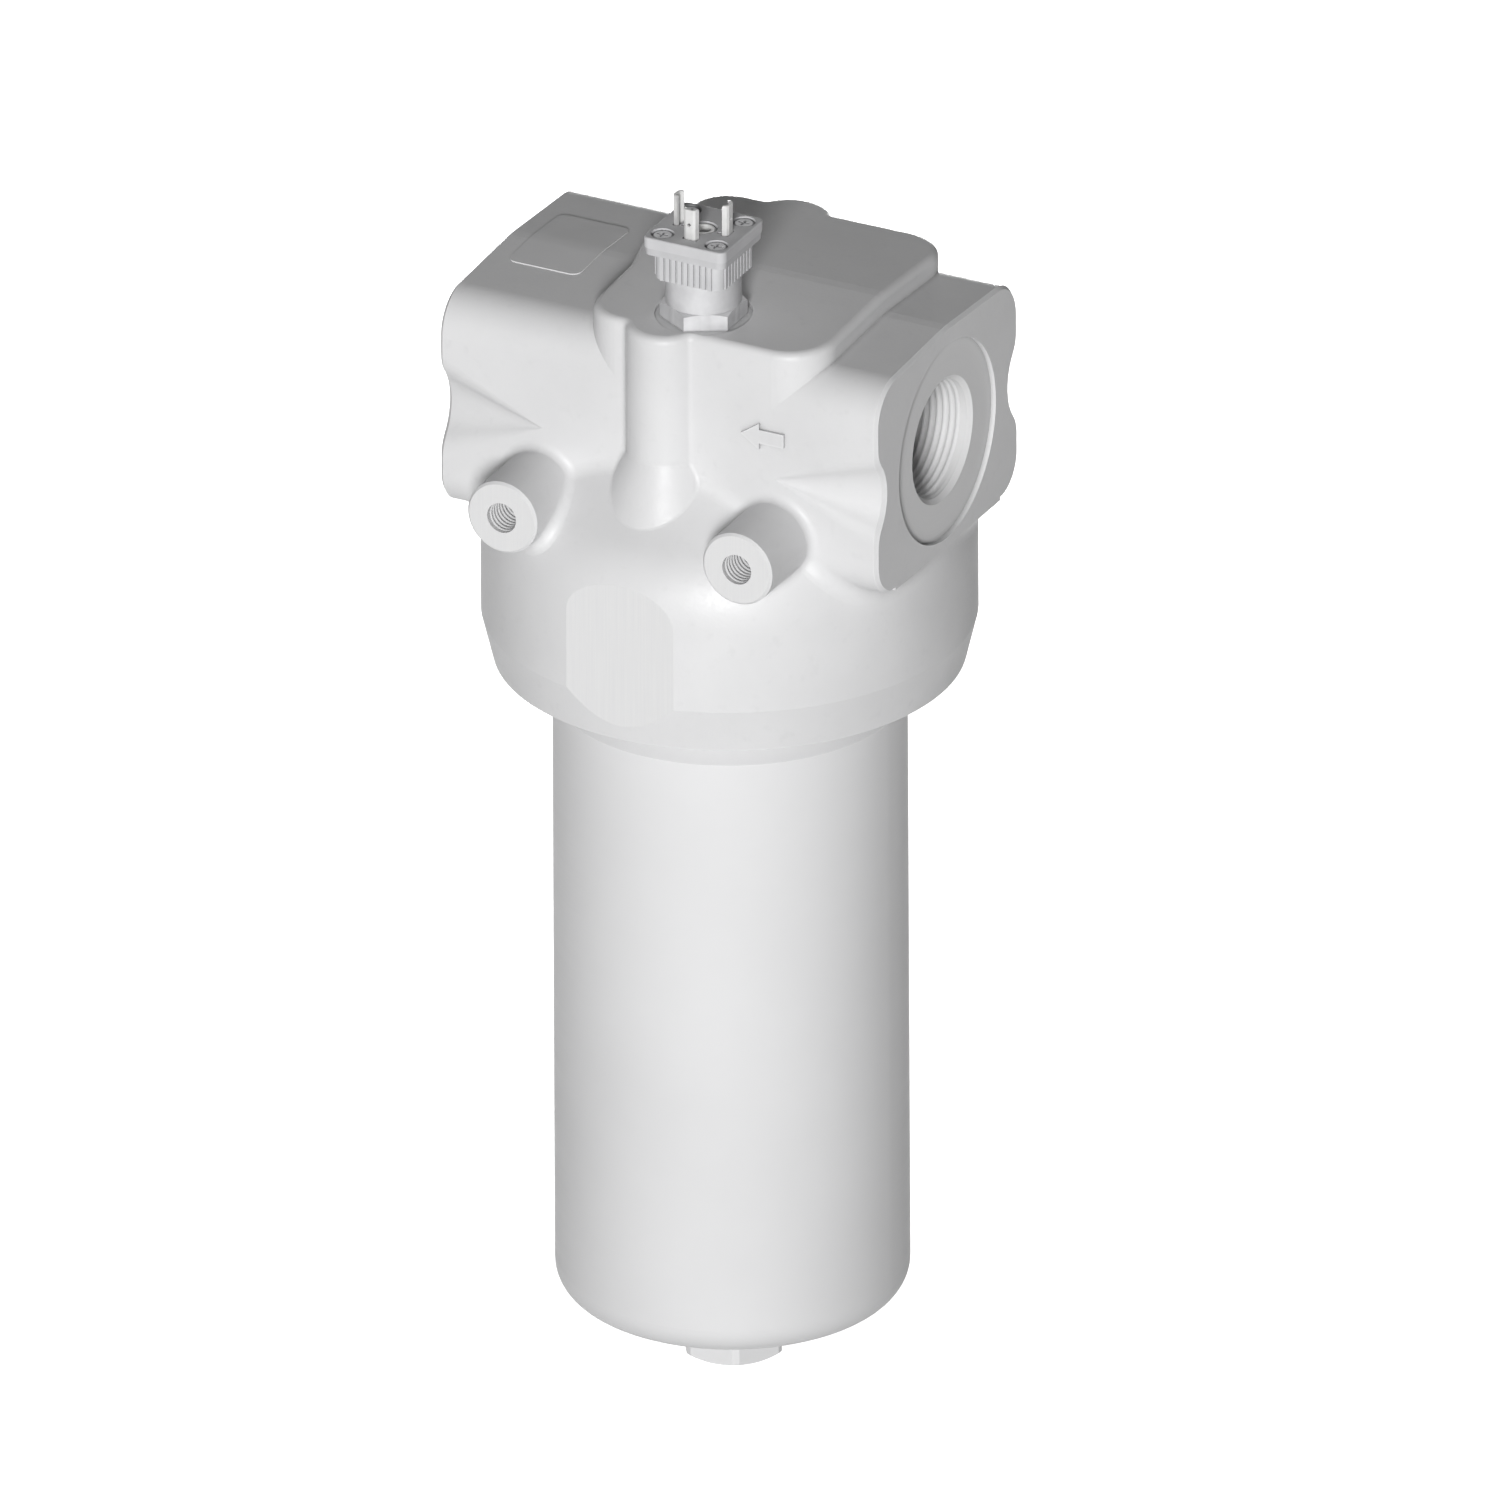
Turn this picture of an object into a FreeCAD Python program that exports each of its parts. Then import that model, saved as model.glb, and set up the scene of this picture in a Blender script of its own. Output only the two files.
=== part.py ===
import FreeCAD, Part
import math
import os

import Sketcher

# Hydraulic pressure filter: a cast head with two threaded ports and two mounting bosses, a steel
# bowl that screws up into it, a pleated element, a bypass valve and an electric clogging indicator.
# The origin is the middle of the two mounting bosses, on their faces. +Z is up along the bowl,
# the ports look along X and the mounting face looks along -Y. All sizes are millimetres.

SIZES = {
    # head, heights above the axis of the mounting bosses
    "collar_pad_depth": 2.3,
    "collar_radius": 78.3,
    "collar_taper": 3.6,
    "collar_bottom": -69.1,
    "collar_band_low": -54.1,
    "collar_band_high": -26.8,
    "dome_arc_radius": 32.0,
    "dome_angle": 47.0,
    "dome_top": 24.0,
    "port_height": 19.7,
    "port_face": 77.2,
    "port_edge_bevel": 1.1,
    "port_core_radius": 19.475,
    "port_mouth_radius": 20.95,
    "port_thread_depth": 26.0,
    "port_way_radius": 17.5,
    "spotface_radius": 33.5,
    "spotface_depth": 1.7,
    "wall_half": 48.8,
    "block_bottom": -16.7,
    "block_low_round": 12.6,
    "block_ridge": 59.4,
    "block_roof_round": 14.0,
    "roof_slope": 3.1,
    "ridge_half": 2.0,
    "flute_start": 41.2,
    "flute_half": 17.6,
    "flute_depth": 6.1,
    "flute_lobe_radius": 12.0,
    "flute_seed": 0.01,
    "centre_ridge": 66.2,
    "centre_left": 27.5,
    "centre_jog": 3.3,
    "centre_jog_front": -14.0,
    "centre_jog_back": 0.0,
    "centre_right": 55.2,
    "centre_right_round": 15.3,
    "centre_left_round": 12.3,
    "centre_edge_round": 2.5,
    "column_radius": 12.8,
    "column_offset": 42.9,
    "column_ring": 18.8,
    "column_flare_angle": 25.0,
    "column_flare_low": -12.0,
    "boss_spacing": 83.0,
    "boss_radius": 12.25,
    "boss_inner": 35.0,
    "boss_hole_radius": 5.1,
    "boss_hole_depth": 22.0,
    "boss_chamfer": 0.8,
    "boss_root_round": 3.0,
    "wall_foot_round": 7.0,
    "column_side_round": 2.5,
    "column_foot_round": 2.0,
    "centre_jog_round": 5.0,
    "arrow_left": 29.5,
    "arrow_right": 44.8,
    "arrow_height": 33.9,
    "arrow_head_long": 6.6,
    "arrow_head_high": 9.0,
    "arrow_shaft_high": 4.7,
    "arrow_proud": 1.0,
    # head, inside
    "chamber_roof": -10.0,
    "chamber_radius": 47.0,
    "seal_step": -20.0,
    "thread_top": -42.0,
    "thread_radius": 52.0,
    "thread_lead": 2.5,
    "seal_radius": 50.0,
    "body_gap": 0.3,
    "inlet_end": 26.0,
    "outlet_end": 12.0,
    "kidney_inner": 26.0,
    "kidney_outer": 43.0,
    "kidney_half_angle": 38.0,
    "kidney_top": 12.0,
    "clean_drill_height": 53.5,
    "clean_drill_inset": 10.0,
    # bowl
    "bowl_radius": 55.9,
    "bowl_bottom": -291.4,
    "bowl_corner_radius": 10.0,
    "bowl_shoulder": -83.5,
    "bowl_bore_radius": 44.0,
    "bowl_floor_thick": 12.4,
    "bowl_bore_corner": 8.0,
    "bowl_lead": 1.0,
    "bowl_hex_flats": 30.0,
    "bowl_hex_turned": 16.7,
    "bowl_hex_high": 21.6,
    "bowl_hex_bevel_reach": 5.0,
    "bowl_hex_bevel_angle": 30.0,
    "groove_top": -29.0,
    "groove_width": 6.0,
    "groove_depth": 3.0,
    "backup_ring_thick": 1.8,
    # element
    "spigot_radius": 14.0,
    "spigot_bore_radius": 11.5,
    "spigot_stem_radius": 15.0,
    "spigot_flange_radius": 20.0,
    "spigot_flange_thick": 4.0,
    "spigot_end": -48.0,
    "spigot_stem_high": 9.0,
    "fit_gap": 0.05,
    "element_top": -26.0,
    "element_neck_high": 12.0,
    "element_neck_radius": 20.0,
    "element_radius": 39.0,
    "cap_thick": 3.0,
    "cap_rim": 6.0,
    "cap_wall": 1.2,
    "element_bottom": -265.0,
    "foot_radius": 12.0,
    "foot_wall": 3.0,
    "media_inner": 20.4,
    "media_outer": 37.4,
    "media_thick": 0.8,
    "pleat_count": 40,
    "core_radius": 20.0,
    "core_wall": 2.0,
    "core_window_high": 12.0,
    "core_window_wide": 9.0,
    "core_rows": 11,
    "core_columns": 6,
    "ring_groove_depth": 2.6,
    "ring_groove_drop": 5.0,
    "ring_groove_high": 3.2,
    # bypass valve
    "bypass_offset": 33.0,
    "bypass_hole_radius": 9.0,
    "bypass_seat_bore": 5.0,
    "bypass_flange_radius": 11.5,
    "bypass_flange_thick": 2.0,
    "bypass_seat_top": -4.0,
    "bypass_seat_land": 1.0,
    "bypass_poppet_radius": 6.4,
    "bypass_poppet_thick": 2.5,
    "bypass_stem_radius": 2.4,
    "bypass_stem_top": 14.0,
    "bypass_cage_wall": 1.2,
    "bypass_cage_top": 15.0,
    "bypass_cage_roof": 1.8,
    "bypass_window_low": 2.0,
    "bypass_window_high": 8.0,
    "bypass_window_wide": 7.0,
    "bypass_spring_radius": 5.2,
    "bypass_spring_wire": 1.1,
    "bypass_spring_pitch": 2.6,
    # clogging indicator, its axis measured from the bowl's
    "indicator_right": 8.5,
    "indicator_front": 33.6,
    "indicator_seat": 63.6,
    "indicator_spot_radius": 15.5,
    "indicator_hex_flats": 24.0,
    "indicator_hex_high": 5.6,
    "indicator_hex_bevel": 0.7,
    "indicator_neck_radius": 12.1,
    "indicator_stem_radius": 10.0,
    "indicator_stem_low": 41.0,
    "indicator_hole_low": 38.0,
    "indicator_relief_high": 2.4,
    "indicator_relief_depth": 1.6,
    "piston_bore_radius": 5.0,
    "piston_bore_top": 58.0,
    "piston_low": 42.0,
    "piston_lip": 1.5,
    "piston_high": 8.0,
    "magnet_radius": 2.6,
    "magnet_high": 3.0,
    "piston_spring_radius": 3.9,
    "piston_spring_wire": 0.7,
    "piston_spring_pitch": 1.9,
    "switch_floor": 60.0,
    "switch_bore_radius": 6.5,
    "switch_radius": 3.0,
    "switch_high": 15.0,
    "pressure_drill_radius": 2.5,
    "clean_groove_half": 1.5,
    "clean_hole_radius": 1.2,
    "housing_low": 79.0,
    "housing_high": 9.0,
    "housing_half": 12.0,
    "housing_round": 3.4,
    "rib_pitch": 2.1,
    "rib_wide": 1.3,
    "rib_proud": 0.5,
    "rib_count": 9,
    "wire_way_radius": 6.0,
    "gasket_high": 2.4,
    "gasket_inset": 0.3,
    "plate_half": 14.5,
    "plate_round": 2.5,
    "plate_high": 3.6,
    "plate_edge_round": 0.6,
    "screw_square": 19.0,
    "screw_radius": 3.1,
    "screw_pocket_radius": 3.8,
    "screw_pocket_depth": 1.2,
    "screw_high": 0.9,
    "screw_bevel": 0.35,
    "screw_cross_long": 3.8,
    "screw_cross_wide": 0.8,
    "screw_cross_deep": 0.6,
    "screw_shank_radius": 1.5,
    "screw_grip": 6.0,
    "centre_pocket_radius": 4.7,
    "insert_rim_radius": 3.9,
    "insert_radius": 3.3,
    "insert_eye_radius": 2.5,
    "insert_floor": 1.2,
    "key_slot_out": 6.3,
    "key_slot_front": 1.2,
    "key_slot_wide": 1.6,
    "key_slot_deep": 1.0,
    "contact_out": 9.8,
    "contact_high": 10.3,
    "contact_root": 2.0,
    "contact_sheet": 0.8,
    "contact_face": 2.5,
    "contact_side": 0.9,
    "contact_side_bend": 30.0,
    "contact_lip": 1.5,
    "contact_lip_bend": 38.0,
    "contact_hole_radius": 0.6,
    "contact_hole_drop": 5.2,
    "contact_tip": 0.6,
}

# How far a cutting shape reaches past what it cuts.
ROOF_SPARE = 1.0
FLAT_SPARE = 5.0
CUT_SPARE = 5.0
BEVEL_SPARE = 0.4
# Flat sides round a spring's wire, and rings in each of its turns.
COIL_SIDES = 8
COIL_STEPS = 16
# How near two sizes must be to count as equal when an edge is looked for.
NEAR = 0.05

doc = FreeCAD.newDocument("PressureFilter")
sheet = doc.addObject("Spreadsheet::Sheet", "Sizes")
for row, (alias, number) in enumerate(SIZES.items(), start=1):
    sheet.set("A%d" % row, alias)
    sheet.set("B%d" % row, str(number))
    sheet.setAlias("B%d" % row, alias)
doc.recompute()


class Dim:
    """A length or angle with its number and with its formula in the words of the sheet."""

    def __init__(self, number, text=None):
        self.number = float(number)
        self.text = repr(float(number)) if text is None else text

    def _join(self, other, sign, number):
        return Dim(number, "(%s %s %s)" % (self.text, sign, other.text))

    def __add__(self, other):
        other = dim(other)
        return self._join(other, "+", self.number + other.number)

    def __sub__(self, other):
        other = dim(other)
        return self._join(other, "-", self.number - other.number)

    def __mul__(self, other):
        other = dim(other)
        return self._join(other, "*", self.number * other.number)

    def __truediv__(self, other):
        other = dim(other)
        return self._join(other, "/", self.number / other.number)

    def __radd__(self, other):
        return dim(other) + self

    def __rsub__(self, other):
        return dim(other) - self

    def __rmul__(self, other):
        return dim(other) * self

    def __neg__(self):
        return Dim(-self.number, "(-1 * %s)" % self.text)


def dim(value):
    return value if isinstance(value, Dim) else Dim(value)


def size(alias):
    return Dim(SIZES[alias], "Sizes.%s" % alias)


def sine(angle):
    angle = dim(angle)
    return Dim(math.sin(math.radians(angle.number)), "sin(%s)" % angle.text)


def cosine(angle):
    angle = dim(angle)
    return Dim(math.cos(math.radians(angle.number)), "cos(%s)" % angle.text)


def tangent(angle):
    return sine(angle) / cosine(angle)


def root(value):
    return Dim(math.sqrt(value.number), "sqrt(%s)" % value.text)


def bind(thing, prop, value):
    thing.setExpression(prop, dim(value).text)


def make_body(label, right=0, back=0, up=0):
    """A new piece whose own origin stands at the given place."""
    body = doc.addObject("PartDesign::Body", label)
    body.Label = label
    for letter, value in zip("xyz", (right, back, up)):
        bind(body, "Placement.Base.%s" % letter, value)
    return body


def origin_plane(body, role):
    return next(item for item in body.Origin.OriginFeatures if item.Role == role)


def new_sketch(body, name, role, offset=0):
    """An empty sketch on one of the body's own planes, moved along that plane's normal."""
    sketch = body.newObject("Sketcher::SketchObject", name)
    sketch.AttachmentSupport = [(origin_plane(body, role), "")]
    sketch.MapMode = "FlatFace"
    bind(sketch, "AttachmentOffset.Base.z", offset)
    return sketch


def pin_value(sketch, kind, *where):
    """Add one dimension and bind it to its formula."""
    *refs, value = where
    index = sketch.addConstraint(Sketcher.Constraint(kind, *refs, value.number))
    sketch.setExpression("Constraints[%d]" % index, value.text)


def pin_point(sketch, geometry, end, point):
    pin_value(sketch, "DistanceX", -1, 1, geometry, end, point[0])
    pin_value(sketch, "DistanceY", -1, 1, geometry, end, point[1])


def arc_between(start, end, radius, left):
    """The short arc from start to end, with its centre on the left or right of the way."""
    chord = end - start
    middle = (start + end) * 0.5
    side = FreeCAD.Vector(-chord.y, chord.x, 0).normalize()
    reach = math.sqrt(max(radius * radius - chord.Length * chord.Length / 4, 0))
    centre = middle + side * (reach if left else -reach)
    first, last = (start, end) if left else (end, start)
    angles = [math.atan2((tip - centre).y, (tip - centre).x) for tip in (first, last)]
    if angles[1] < angles[0]:
        angles[1] += 2 * math.pi
    circle = Part.Circle(centre, FreeCAD.Vector(0, 0, 1), radius)
    return Part.ArcOfCircle(circle, angles[0], angles[1])


def draw_loop(sketch, points, arcs):
    """Draw a closed outline through the points. arcs gives, for an edge's number, the radius and
    whether the centre lies left of the way; every other edge is straight."""
    points = [(dim(across), dim(up)) for across, up in points]
    spots = [FreeCAD.Vector(across.number, up.number, 0) for across, up in points]
    count = len(points)
    ends = []
    for index in range(count):
        start, end = spots[index], spots[(index + 1) % count]
        if index in arcs:
            radius, left = arcs[index]
            geometry = sketch.addGeometry(arc_between(start, end, dim(radius).number, left), False)
            ends.append((geometry, 1, 2) if left else (geometry, 2, 1))
        else:
            geometry = sketch.addGeometry(Part.LineSegment(start, end), False)
            ends.append((geometry, 1, 2))
    for index in range(count):
        geometry, _, last = ends[index]
        following, first, _ = ends[(index + 1) % count]
        sketch.addConstraint(Sketcher.Constraint("Coincident", geometry, last, following, first))
    for index, point in enumerate(points):
        geometry, first, _ = ends[index]
        pin_point(sketch, geometry, first, point)
        if index in arcs:
            pin_value(sketch, "Radius", geometry, dim(arcs[index][0]))


def outline(body, name, role, points, arcs=None, offset=0):
    """A sketch of one closed outline."""
    sketch = new_sketch(body, name, role, offset)
    draw_loop(sketch, points, arcs or {})
    return sketch


def rectangles(body, name, role, places, wide, high, offset=0):
    """A sketch of equal rectangles centred on the given places."""
    sketch = new_sketch(body, name, role, offset)
    for across, up in places:
        corners = [
            (across - wide / 2, up - high / 2),
            (across + wide / 2, up - high / 2),
            (across + wide / 2, up + high / 2),
            (across - wide / 2, up + high / 2),
        ]
        draw_loop(sketch, corners, {})
    return sketch


def circles(body, name, role, places, radius, offset=0):
    """A sketch of equal circles at the given places."""
    sketch = new_sketch(body, name, role, offset)
    radius = dim(radius)
    for across, up in places:
        across, up = dim(across), dim(up)
        centre = FreeCAD.Vector(across.number, up.number, 0)
        circle = Part.Circle(centre, FreeCAD.Vector(0, 0, 1), radius.number)
        geometry = sketch.addGeometry(circle, False)
        pin_point(sketch, geometry, 3, (across, up))
        pin_value(sketch, "Radius", geometry, radius)
    return sketch


def pad(body, sketch, length, backwards=False, both_ways=False):
    feature = body.newObject("PartDesign::Pad", sketch.Name + "_pad")
    feature.Profile = sketch
    bind(feature, "Length", length)
    feature.Reversed = backwards
    feature.Midplane = both_ways
    return feature


def pocket(body, sketch, length, backwards=False, both_ways=False):
    feature = body.newObject("PartDesign::Pocket", sketch.Name + "_cut")
    feature.Profile = sketch
    bind(feature, "Length", length)
    feature.Reversed = backwards
    feature.Midplane = both_ways
    return feature


def turned(body, sketch, cut=False):
    """The outline turned once about the body's upright axis."""
    kind = "PartDesign::Groove" if cut else "PartDesign::Revolution"
    feature = body.newObject(kind, sketch.Name + ("_turned_cut" if cut else "_turned"))
    feature.Profile = sketch
    feature.ReferenceAxis = (sketch, ["V_Axis"])
    feature.Angle = 360
    return feature


def mirrored(body, feature, role):
    """The same feature once more on the other side of one of the body's planes."""
    doc.recompute()
    mirror = body.newObject("PartDesign::Mirrored", feature.Name + "_mirrored")
    mirror.Originals = [feature]
    mirror.MirrorPlane = (origin_plane(body, role), [""])
    body.Tip = mirror
    return mirror


def dress(body, kind, name, amount, wanted):
    """Fillet or Chamfer the edges of the body for which wanted(edge) is true."""
    doc.recompute()
    base = body.Tip
    names = ["Edge%d" % (index + 1) for index, edge in enumerate(base.Shape.Edges) if wanted(edge)]
    if not names:
        raise ValueError("no edge found for %s" % name)
    feature = body.newObject("PartDesign::%s" % kind, name)
    feature.Base = (base, names)
    bind(feature, "Radius" if kind == "Fillet" else "Size", amount)
    return feature


def axis_offset():
    """From the mounting face back to the bowl's axis: the collar's radius less its flat's depth."""
    return size("collar_radius") - size("collar_pad_depth")


def roof_height(ridge, across):
    """Height of a roof at a distance from its flat ridge band."""
    return ridge - (across - size("ridge_half")) * tangent(size("roof_slope"))


def block_points(share, inset=0):
    """Section of a port block, drawn in all round by the inset, with its side flutes opened by
    the given share of full size."""
    wall = size("wall_half") - inset
    low = size("block_low_round") - inset
    high = size("block_roof_round") - inset
    bottom = size("block_bottom") + inset
    ridge = size("block_ridge") - inset
    slope = size("roof_slope")
    band = size("ridge_half")
    shoulder = wall - high + high * sine(slope)
    side_top = roof_height(ridge, shoulder) - high * cosine(slope)
    side_low = bottom + low
    half = [(wall - low, bottom), (wall, side_low)]
    arcs = {0: (low, True)}
    if share is not None:
        middle = size("port_height")
        reach = size("flute_half") * share
        depth = size("flute_depth") * share
        lobe = size("flute_lobe_radius") * share - inset
        whole = (reach * reach + depth * depth) / (depth * 2)
        deep = wall - lobe * depth / whole
        rise = lobe * reach / whole
        half += [
            (wall, middle - reach),
            (deep, middle - reach + rise),
            (deep, middle + reach - rise),
            (wall, middle + reach),
        ]
        arcs.update({2: (lobe, True), 3: (whole - lobe, False), 4: (lobe, True)})
    arcs[len(half)] = (high, True)
    half += [(wall, side_top), (shoulder, side_top + high * cosine(slope)), (band, ridge)]
    last = 2 * len(half) - 2
    arcs.update({last - edge: value for edge, value in list(arcs.items())})
    return half + [(-across, up) for across, up in reversed(half)], arcs


def add_port_blocks(body):
    """A plain middle stretch, and an end on each side whose flutes open towards the port."""
    start = size("flute_start")
    middle = outline(body, "block_middle", "YZ_Plane", *block_points(None))
    pad(body, middle, start * 2, both_ways=True)
    inner = outline(body, "block_inner", "YZ_Plane", *block_points(size("flute_seed")), offset=start)
    outer = outline(body, "block_outer", "YZ_Plane", *block_points(Dim(1)), offset=size("port_face"))
    doc.recompute()
    ends = body.newObject("PartDesign::AdditiveLoft", "block_end")
    ends.Profile = inner
    ends.Sections = [outer]
    ends.Ruled = True
    mirrored(body, ends, "YZ_Plane")


def bevel_port_edges(body):
    """Bevel round each port's face, left out under the block where the collar is too near."""
    bevel = size("port_edge_bevel")
    out = size("port_face")
    under = size("block_bottom") - BEVEL_SPARE * 2
    foot = size("wall_half") - size("block_low_round")
    far = size("wall_half") + CUT_SPARE
    above = size("block_ridge") + CUT_SPARE
    sections = []
    for inset in (bevel + BEVEL_SPARE, dim(-BEVEL_SPARE)):
        points, arcs = block_points(dim(1), inset)
        points += [(-foot, under), (-far, under), (-far, above)]
        points += [(far, above), (far, under), (foot, under)]
        sections.append(outline(body, "port_bevel_%d" % len(sections), "YZ_Plane", points, arcs,
                                offset=out - bevel + inset))
    doc.recompute()
    cut = body.newObject("PartDesign::SubtractiveLoft", "port_bevel")
    cut.Profile = sections[0]
    cut.Sections = sections[1:]
    cut.Ruled = True
    mirrored(body, cut, "YZ_Plane")


def add_collar(body):
    """The round lower part: taper, band, rounded shoulder and the cone above it."""
    radius = size("collar_radius")
    arc = size("dome_arc_radius")
    angle = size("dome_angle")
    high = size("collar_band_high")
    cone_start = (radius - arc * (1 - cosine(angle)), high + arc * sine(angle))
    rise = size("dome_top") - cone_start[1]
    points = [
        (0, size("collar_bottom")),
        (radius - size("collar_taper"), size("collar_bottom")),
        (radius, size("collar_band_low")),
        (radius, high),
        cone_start,
        (cone_start[0] - rise * tangent(angle), size("dome_top")),
        (0, size("dome_top")),
    ]
    turned(body, outline(body, "collar", "XZ_Plane", points, {3: (arc, True)}))


def add_centre_block(body):
    """The taller middle block with rounded corners and a low roof ridge."""
    wall = size("wall_half")
    right = size("centre_right")
    left = size("centre_left")
    deep_left = left + size("centre_jog")
    big = size("centre_right_round")
    small = size("centre_left_round")
    points = [
        (small - left, -wall),
        (right - big, -wall),
        (right, big - wall),
        (right, wall - big),
        (right - big, wall),
        (small - deep_left, wall),
        (-deep_left, wall - small),
        (-deep_left, size("centre_jog_back")),
        (-left, size("centre_jog_front")),
        (-left, small - wall),
    ]
    arcs = {1: (big, True), 3: (big, True), 5: (small, True), 9: (small, True)}
    low = size("chamber_roof")
    plan = outline(body, "centre_plan", "XY_Plane", points, arcs, offset=low)
    pad(body, plan, size("centre_ridge") + ROOF_SPARE - low)


def add_columns(body):
    """Half-round columns on the front and back walls, each with a flared foot."""
    places = [(0, -size("column_offset")), (0, size("column_offset"))]
    ring = size("column_ring")
    radius = size("column_radius")
    shafts = circles(body, "column", "XY_Plane", places, radius, offset=ring)
    pad(body, shafts, size("centre_ridge") + ROOF_SPARE - ring)
    feet = circles(body, "column_foot", "XY_Plane", places, radius, offset=ring)
    flare = pad(body, feet, ring - size("column_flare_low"), backwards=True)
    bind(flare, "TaperAngle", size("column_flare_angle"))


def cut_roof(body):
    """Slope the centre block and the column heads down from the ridge band."""
    ridge = size("centre_ridge")
    band = size("ridge_half")
    side = axis_offset()
    eaves = roof_height(ridge, side)
    top = ridge + ROOF_SPARE * 2
    points = [(band, ridge), (side, eaves), (side, top), (-side, top), (-side, eaves), (-band, ridge)]
    sketch = outline(body, "roof", "YZ_Plane", points)
    pocket(body, sketch, size("port_face") * 2, both_ways=True)


def add_bosses(body):
    """Flat on the collar's front, then the two mounting bosses flush with it."""
    face = axis_offset()
    collar = size("collar_radius")
    half = size("boss_spacing") / 2
    low = size("collar_bottom") - FLAT_SPARE
    points = [(-half, low), (half, low), (half, 0), (-half, 0)]
    flat = outline(body, "collar_flat", "XZ_Plane", points, offset=collar + FLAT_SPARE)
    pocket(body, flat, collar + FLAT_SPARE - face)
    bosses = circles(body, "boss", "XZ_Plane", [(-half, 0), (half, 0)], size("boss_radius"), offset=face)
    pad(body, bosses, face - size("boss_inner"), backwards=True)


def edge_points(edge):
    """Both ends and the middle of an edge."""
    middle = edge.valueAt((edge.FirstParameter + edge.LastParameter) / 2)
    return [vertex.Point for vertex in edge.Vertexes] + [middle]


def all_points(test):
    """Turn a test of one point into a test of an edge's ends and middle."""
    return lambda edge: all(test(place) for place in edge_points(edge))


def near(first, second):
    return abs(first - second) < NEAR


def on_wall(place):
    return near(abs(place.y), SIZES["wall_half"])


def on_cone(place):
    """On the cone above the collar's rounded shoulder."""
    angle = math.radians(SIZES["dome_angle"])
    arc = SIZES["dome_arc_radius"]
    start = SIZES["collar_radius"] - arc * (1 - math.cos(angle))
    low = SIZES["collar_band_high"] + arc * math.sin(angle)
    return near(math.hypot(place.x, place.y), start - (place.z - low) * math.tan(angle))


def on_foot(place):
    """On the flared foot of a column."""
    lean = math.tan(math.radians(SIZES["column_flare_angle"]))
    radius = SIZES["column_radius"] + lean * (SIZES["column_ring"] - place.z)
    return near(math.hypot(place.x, abs(place.y) - SIZES["column_offset"]), radius)


def on_shaft(place):
    return near(math.hypot(place.x, abs(place.y) - SIZES["column_offset"]), SIZES["column_radius"])


def on_roof_rim(edge):
    """The edges round the centre block's roof, without the ridge lines."""
    rim_low = SIZES["centre_ridge"] - SIZES["centre_edge_round"] * 2
    band = SIZES["ridge_half"] + NEAR
    places = edge_points(edge)
    along_ridge = all(abs(place.y) < band for place in places)
    lengthwise = abs(places[0].x - places[-1].x) > band
    return all(place.z > rim_low for place in places) and not (along_ridge and lengthwise)


def on_boss(place):
    across = math.hypot(abs(place.x) - SIZES["boss_spacing"] / 2, place.z)
    return near(across, SIZES["boss_radius"]) and place.y > NEAR - axis_offset().number


def on_jog(edge):
    """The two upright edges of the step in the centre block's left wall."""
    stations = (SIZES["centre_jog_front"], SIZES["centre_jog_back"])
    places = edge_points(edge)
    upright = all(near(place.x, places[0].x) and near(place.y, places[0].y) for place in places)
    return upright and places[0].x < -SIZES["centre_left"] + NEAR and any(
        near(places[0].y, station) for station in stations
    )


def on_column_side(edge):
    """The upright edges between a column or its foot and the wall."""
    places = edge_points(edge)
    shaft = all(on_wall(place) and on_shaft(place) for place in places)
    foot = all(on_wall(place) and on_foot(place) for place in places)
    return shaft or foot


def add_arrow(body):
    """Raised arrow on the front wall, pointing the way the oil flows."""
    left = size("arrow_left")
    right = size("arrow_right")
    neck = left + size("arrow_head_long")
    middle = size("arrow_height")
    head = size("arrow_head_high") / 2
    shaft = size("arrow_shaft_high") / 2
    points = [
        (left, middle),
        (neck, middle - head),
        (neck, middle - shaft),
        (right, middle - shaft),
        (right, middle + shaft),
        (neck, middle + shaft),
        (neck, middle + head),
    ]
    proud = size("arrow_proud")
    sketch = outline(body, "arrow", "XZ_Plane", points, offset=size("wall_half") - proud)
    pad(body, sketch, proud * 2)


def add_port(body, name, side, inner_end):
    """Machined face, threaded bore with a chamfered mouth, and the narrower passage of one port."""
    face = size("port_face")
    middle = [(0, size("port_height"))]
    away = side < 0
    spot = circles(body, name + "_face", "YZ_Plane", middle, size("spotface_radius"), face * side)
    pocket(body, spot, size("spotface_depth"), backwards=away)
    way = circles(body, name + "_way", "YZ_Plane", middle, size("port_way_radius"), face * side)
    pocket(body, way, face - inner_end * side, backwards=away)
    bore = circles(body, name + "_bore", "YZ_Plane", middle, size("port_core_radius"), face * side)
    pocket(body, bore, size("spotface_depth") + size("port_thread_depth"), backwards=away)
    floor = SIZES["port_face"] - SIZES["spotface_depth"]

    def on_mouth(place):
        across = math.hypot(place.y, place.z - SIZES["port_height"])
        return near(place.x, floor * side) and near(across, SIZES["port_core_radius"])

    mouth = size("port_mouth_radius") - size("port_core_radius")
    dress(body, "Chamfer", name + "_mouth", mouth, all_points(on_mouth))


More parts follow.
